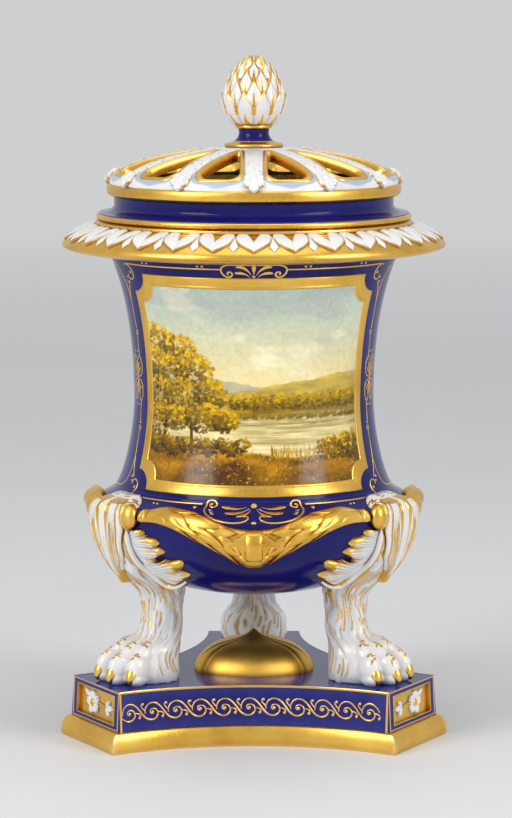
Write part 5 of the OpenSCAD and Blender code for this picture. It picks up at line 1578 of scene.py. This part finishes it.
def make_dome():
    r, a = dome_steps(DOME_R, 60, 150, 44)[:, None], np.arange(0, 360, 0.5)[None, :]
    gap = np.tile(opening_gap(r, a[:, :a.size // STRAPS]), (1, STRAPS))
    top = over_dome(polar(r, a), np.where(r > DOME_FLAT_R - 0.1, strap_rise(gap, r), 0))
    top[-1, :, 2] = DOME_Z
    inner_r = DOME_R - WALL
    ri = dome_steps(inner_r, inner_r - 2, 90, 12)[:, None]
    low = raised(polar(ri, a), dome_height(np.maximum(ri, DOME_FLAT_R), inner_r, DOME_H - WALL))
    shell = Shape()
    for p, out in ((top, True), (low, False), (np.stack([low[-1], top[-1]]), False)):
        shell.patch(p, close_cols=True, flip=out)
    shell.build("dome_porcelain", WHITE, "cover", "cover_dome", "white_porcelain",
                keep=lambda c: opening_gap(np.hypot(c[:, 0], c[:, 1]), np.degrees(np.arctan2(c[:, 1], c[:, 0]))) > 0.05)

    # each opening: a pale-blue band that widens round the end, a brown line, then a gilt roll down to the inside
    roll = np.array([over_dome(opening_line(inset), out) for inset, out in (
        (-0.10, -0.15), (-0.04, 0.10), (0.2, 0.32), (0.6, 0.48), (1.0, 0.46), (1.4, 0.22), (1.75, -0.25), (1.95, -0.9),
        (2.05, -2.2), (2.05, -4.3))])
    base = opening_line(0.0)
    outward = base - opening_line(1.0)
    outward /= np.maximum(np.linalg.norm(outward, axis=1, keepdims=True), 1e-6)
    wide = 0.75 + 1.40 * smooth(np.hypot(base[:, 0], base[:, 1]), 52, 61)
    step = np.array([0.0, 0.16, 0.32, 0.42, 0.6, 0.75, 0.9, 1.0])[:, None]
    out = step * wide
    at = base + outward * out[..., None]
    far = np.hypot(at[..., 0], at[..., 1])
    at = at * (np.minimum(far, DOME_R - 0.25) / far)[..., None]
    rings = over_dome(at, strap_rise(out, np.hypot(at[..., 0], at[..., 1])) + np.where(step < 1, 0.07, -0.07))
    blue = (0.55 + 0.25 * (wide - 0.75) / 1.4) * (1 - smooth(step, 0.75, 1.0))
    brown = 0.9 * (1 - smooth(out, 0.20, 0.34))
    bevel, band = Shape(), Shape()
    for k in range(STRAPS):
        az = (k + 0.5) * STRAP_STEP + FRONT
        bevel.patch(turn(roll, az), close_cols=True)
        band.patch(turn(rings, az), close_cols=True, flip=True, tint=blue, umber=brown)
    bevel.build("opening_bevels_gilt", GOLD, "cover")
    band.build("opening_bands", WHITE, "cover")

    # enamel ticks down the straps
    ticks = Gilt(lambda x, y, out=0.0: over_dome(np.stack([x, y], -1), out + 0.62))
    rng = np.random.default_rng(5)
    for k in range(STRAPS):
        a = math.radians(k * STRAP_STEP + FRONT)
        along, across = np.array([math.cos(a), math.sin(a)]), np.array([-math.sin(a), math.cos(a)])
        for i, d in enumerate(np.linspace(20, 55, 11)):
            for s in ((-1, 1), (0,), (1,), (-1, 0))[i % 4]:
                at = along * (d + rng.normal(0, 0.5))
                at = at + across * (s * min(2.1, 0.6 + (d - 17) * 0.07) + rng.normal(0, 0.2))
                lean = along * rng.uniform(0.8, 1.5) + across * (0.5 * s + rng.normal(0, 0.3))
                ticks.line([at, at + lean * 0.5, at + lean], 0.46, 0.10, lambda t: 0.35 + 0.65 * np.sin(np.pi * t), 6)
    ticks.shape.build("strap_ticks", make_enamel(), "cover")


# radius and length along the dome's outside, near its edge
DOME_ARC = np.column_stack([50 + (DOME_R - 0.02 - 50) * np.sin(np.linspace(0, np.pi / 2, 200)), np.zeros(200)])
DOME_ARC[1:, 1] = np.cumsum(np.hypot(np.diff(DOME_ARC[:, 0]), np.diff(dome_height(DOME_ARC[:, 0]))))
COVER_LEAF_R = 61.8


def make_cover_leaves():
    """Small five-lobed leaf at each strap's foot, its tip over the gilt rim."""
    shape = Shape()
    root = np.interp(COVER_LEAF_R, DOME_ARC[:, 0], DOME_ARC[:, 1])

    def on_strap(x, y, out):
        r = np.interp(root + x, DOME_ARC[:, 1], DOME_ARC[:, 0])
        p = over_dome(np.stack([r * np.cos(y / r), r * np.sin(y / r)], -1), out)
        p[..., 2] -= np.maximum(0, root + x - DOME_ARC[-1, 1])
        return p

    t, s = grid(24, 17)
    edge = arch(np.abs(s) ** 4) * arch(past(t, 0.75, 0.251) ** 2)
    relief = 0.35 * smooth(t, 0.3, 0.9) - 0.30 * bell(s, 0.16) * smooth(t, 0.15, 0.4)
    boss = ball((0, 0, 0), (2.0, 2.0, 1.7), 0, 0, 12, 20) + over_dome(np.array([COVER_LEAF_R, 0.0]), 0.6)
    for k in range(STRAPS):
        az = k * STRAP_STEP + FRONT
        for aside, length, width, lift in ((104, 4.6, 4.4, 0.5), (-104, 4.6, 4.4, 0.5), (52, 5.4, 4.8, 0.9),
                                           (-52, 5.4, 4.8, 0.9), (0, 6.6, 5.0, 1.3)):
            half = width / 2 * np.sin(np.pi * np.clip(0.16 + 0.62 * t, 0, 1)) * arch(past(t, 0.60, 0.401) ** 2.2)
            u, v = length * t, half * s
            c, n = math.cos(math.radians(aside)), math.sin(math.radians(aside))
            p = on_strap(u * c - v * n, u * n + v * c, 0.35 + edge * (lift + 0.55 + relief))
            gilt = (0.95 if aside else 0.0) * smooth(t, 0.80, 0.92) * smooth(s * (1 if aside > 0 else -1), 0.55, -0.35)
            umber = (0.8 * smooth(np.abs(s), 0.72, 0.95) * smooth(t, 0.35, 0.6)
                     + (0.5 if abs(aside) > 60 else 0.0) * smooth(t, 0.85, 1.0))
            # painted shade: pale blue round each lobe's edge, where it falls to the dome
            shape.patch(turn(p, az), flip=True, gilt=gilt, umber=np.clip(umber, 0, 1), tint=0.25 * (1 - edge))
        shape.patch(turn(boss, az), close_cols=True)
    shape.build("cover_leaves_porcelain", WHITE, "cover", "cover_leaves", "white_porcelain")


# rows of the bud's scales: foot and tip as shares of its height, count, stand-off
SCALES = ((0.02, 0.50, 10, 0.0), (0.14, 0.68, 10, -0.1), (0.36, 0.83, 10, -0.15), (0.58, 0.93, 8, -0.2),
          (0.76, 0.985, 6, -0.2))


def make_finial():
    line = bezier([(STEM_R + 2, STEM_Z), (STEM_R - 0.4, COLLAR_Z + 4.66), (STEM_R - 0.4, COLLAR_Z + 7.14),
                   (STEM_R + 0.8, BUD_Z)], 24)
    turned("finial_stem_glaze", np.vstack([[[0, STEM_Z]], line, [[0, BUD_Z]]]), COBALT, "cobalt_glaze", "finial_stem",
           "cover", 128)

    # bud: a core under rows of pointed scales, each row set half a scale round from the last
    bud = Shape()
    up = np.linspace(0, 1, 80)
    core = np.column_stack([np.maximum(bud_radius(up) - 1.5, 0.02), BUD_Z + (BUD_H - 0.8) * up])
    bud.patch(lathe(core, 96), close_cols=True)
    t, s = grid(50, 39)
    edge = arch(np.abs(s) ** 4)
    for row, (low, high, count, out) in enumerate(SCALES):
        at = low + (high - low) * t
        wall = bud_radius(np.clip(at, 0, 1))
        half = 180 / count * 1.06 * np.minimum(1, 0.78 + 0.6 * t)
        half = half * np.maximum(0, 1 - past(t, 0.46, 0.54) ** 1.5) ** 0.9 + 0.12
        r = (wall - 0.95 + out * 0.6 + edge * (0.55 + 0.30 * np.cos(np.pi * s * 0.9))
             + 0.55 * smooth(t, 0.45, 1.0) * edge - 0.5 * (1 - edge))
        r = np.minimum(r - (1.5 * smooth(t, 0.50, 0.0) if row else 0), wall + 0.25)
        # gilt edges and a gilt wedge at each root
        width = half * math.pi / 180 * np.maximum(wall, 1)
        across = np.abs(s) * width
        line = smooth(across, np.maximum(width - 1.45, 0.02), np.maximum(width - 1.10, 0.05)) * smooth(t, 0.24, 0.40)
        root = 0.36 if row == 0 else 0.66
        wedge = 1.15 * np.clip(1 - t / root, 0, 1)
        vein = smooth(0.95 * (1 - t / root), 0.0, 0.02) * (1 - smooth(across, wedge, wedge + 0.28))
        foot = smooth(t, 0.09, 0.03) if row == 0 else 0 * t
        gilt = np.clip(np.maximum(np.maximum(line, vein), foot), 0, 1)
        for k in range(count):
            a = FRONT + 360 / count * (k + (0.5 if row % 2 == 0 else 0.0)) + half * s
            p = raised(polar(np.maximum(r, 0.05), a), BUD_Z + (BUD_H - 0.35) * at)
            # painted shade: pale blue round each scale's edge, where it falls to the scale beneath
            bud.patch(p, gilt=gilt, tint=0.18 * (1 - edge))
    bud.build("finial_bud_porcelain", WHITE, "cover", "finial_bud", "white_porcelain")
    band = np.array([(0.7, -0.7), (1.35, -0.35), (1.6, 0.25), (1.3, 0.85), (0.6, 1.0)]) + (STEM_R, BUD_Z)
    Shape().patch(lathe(rounded(band, 5), 128), close_cols=True).build("bud_band_gilt", GOLD, "cover")


make_rim_leaves()
make_dome()
make_cover_leaves()
make_finial()


# Stage

BACKGROUND = (0.62, 0.625, 0.64, 1)


def seen_rays(path):
    """The rays of a Light Path node that show the background."""
    return [path.outputs[k] for k in ("Is Camera Ray", "Is Glossy Ray", "Is Transmission Ray")]


def make_stage():
    """Round pale floor that fades into the background a few steps off."""
    s = Surface("floor_paper")
    cloud = s.noise(3, 4)
    s.fill(s.shader, base_color=s.ramp(cloud, (0.3, (0.74, 0.74, 0.75)), (0.7, (0.78, 0.78, 0.79))),
           roughness=s.total((cloud, 0.15), 0.55), normal=s.bump(s.noise(180, 2), 0.05))
    far = s.node("ShaderNodeVectorMath", {0: s.place}, "Value", operation="LENGTH")
    fade = s.ramp(s.math("MULTIPLY", far, 0.25), (0.2, 0.0), (0.75, 1.0))
    camera, glossy, through = seen_rays(s.node("ShaderNodeLightPath").node)
    share = s.math("MULTIPLY", fade, s.math("ADD", s.math("ADD", camera, glossy), through, True))
    glow = s.node("ShaderNodeEmission", {"Color": BACKGROUND, "Strength": 1.0}, "Emission")
    s.set(s.result, s.node("ShaderNodeMixShader", {0: share, 1: s.shader.outputs[0], 2: glow}))
    r, a = np.array([0.0005, 0.15, 0.4, 0.8, 1.4, 2.2, 3.2, 5.0, 8.0]), np.arange(0, 360, 5)
    p = raised(polar(r[:, None], a[None, :]), 0.0)
    Shape().patch(p / MM, close_cols=True, flip=True).build("floor", s.material, None)


def make_lights():
    """Three softboxes, and a world that lights the vase softly and shows the plain background."""
    def lamp(name, at, aim, size, power):
        data = bpy.data.lights.new(name, "AREA")
        data.shape, data.size, data.size_y, data.energy = "RECTANGLE", size[0], size[1], power
        obj = bpy.data.objects.new(name, data)
        obj.location = at
        obj.rotation_euler = (Vector(aim) - Vector(at)).to_track_quat("-Z", "Y").to_euler()
        bpy.context.scene.collection.objects.link(obj)

    lamp("left_softbox", (-1.25, -1.05, 1.0), (0, 0, 0.15), (0.8, 1.2), 16.5)
    lamp("right_softbox", (1.35, -0.95, 0.95), (0, 0, 0.15), (0.7, 1.2), 14)
    lamp("top_softbox", (0, -0.1, 1.7), (0, 0, 0.1), (1.2, 1.0), 4.5)
    world = bpy.data.worlds.new("studio")
    bpy.context.scene.world = world
    world.use_nodes = True
    parts, links = world.node_tree.nodes, world.node_tree.links
    light, shown, share = parts["Background"], parts.new("ShaderNodeBackground"), parts.new("ShaderNodeMixShader")
    light.inputs["Color"].default_value = (0.455, 0.46, 0.47, 1)
    shown.inputs["Color"].default_value = BACKGROUND
    camera, glossy, through = seen_rays(parts.new("ShaderNodeLightPath"))
    some, total = parts.new("ShaderNodeMath"), parts.new("ShaderNodeMath")
    total.use_clamp = True
    for a, b in ((camera, some.inputs[0]), (glossy, some.inputs[1]), (some.outputs[0], total.inputs[0]),
                 (through, total.inputs[1]), (total.outputs[0], share.inputs[0]), (light.outputs[0], share.inputs[1]),
                 (shown.outputs[0], share.inputs[2]), (share.outputs[0], parts["World Output"].inputs["Surface"])):
        links.new(a, b)


def make_camera():
    """The photograph's camera, as fitted to it."""
    data = bpy.data.cameras.new("camera")
    data.lens, data.sensor_width, data.sensor_fit, data.shift_x = 146.0, 36.0, "AUTO", 0.0026
    obj = bpy.data.objects.new("camera", data)
    obj.location = (0, -1.487, 0.338)
    obj.rotation_euler = (Vector((0, 0, 0.145)) - obj.location).to_track_quat("-Z", "Y").to_euler()
    bpy.context.scene.collection.objects.link(obj)
    bpy.context.scene.camera = obj


make_stage()
make_lights()
make_camera()
bpy.context.scene.view_settings.view_transform = "Standard"
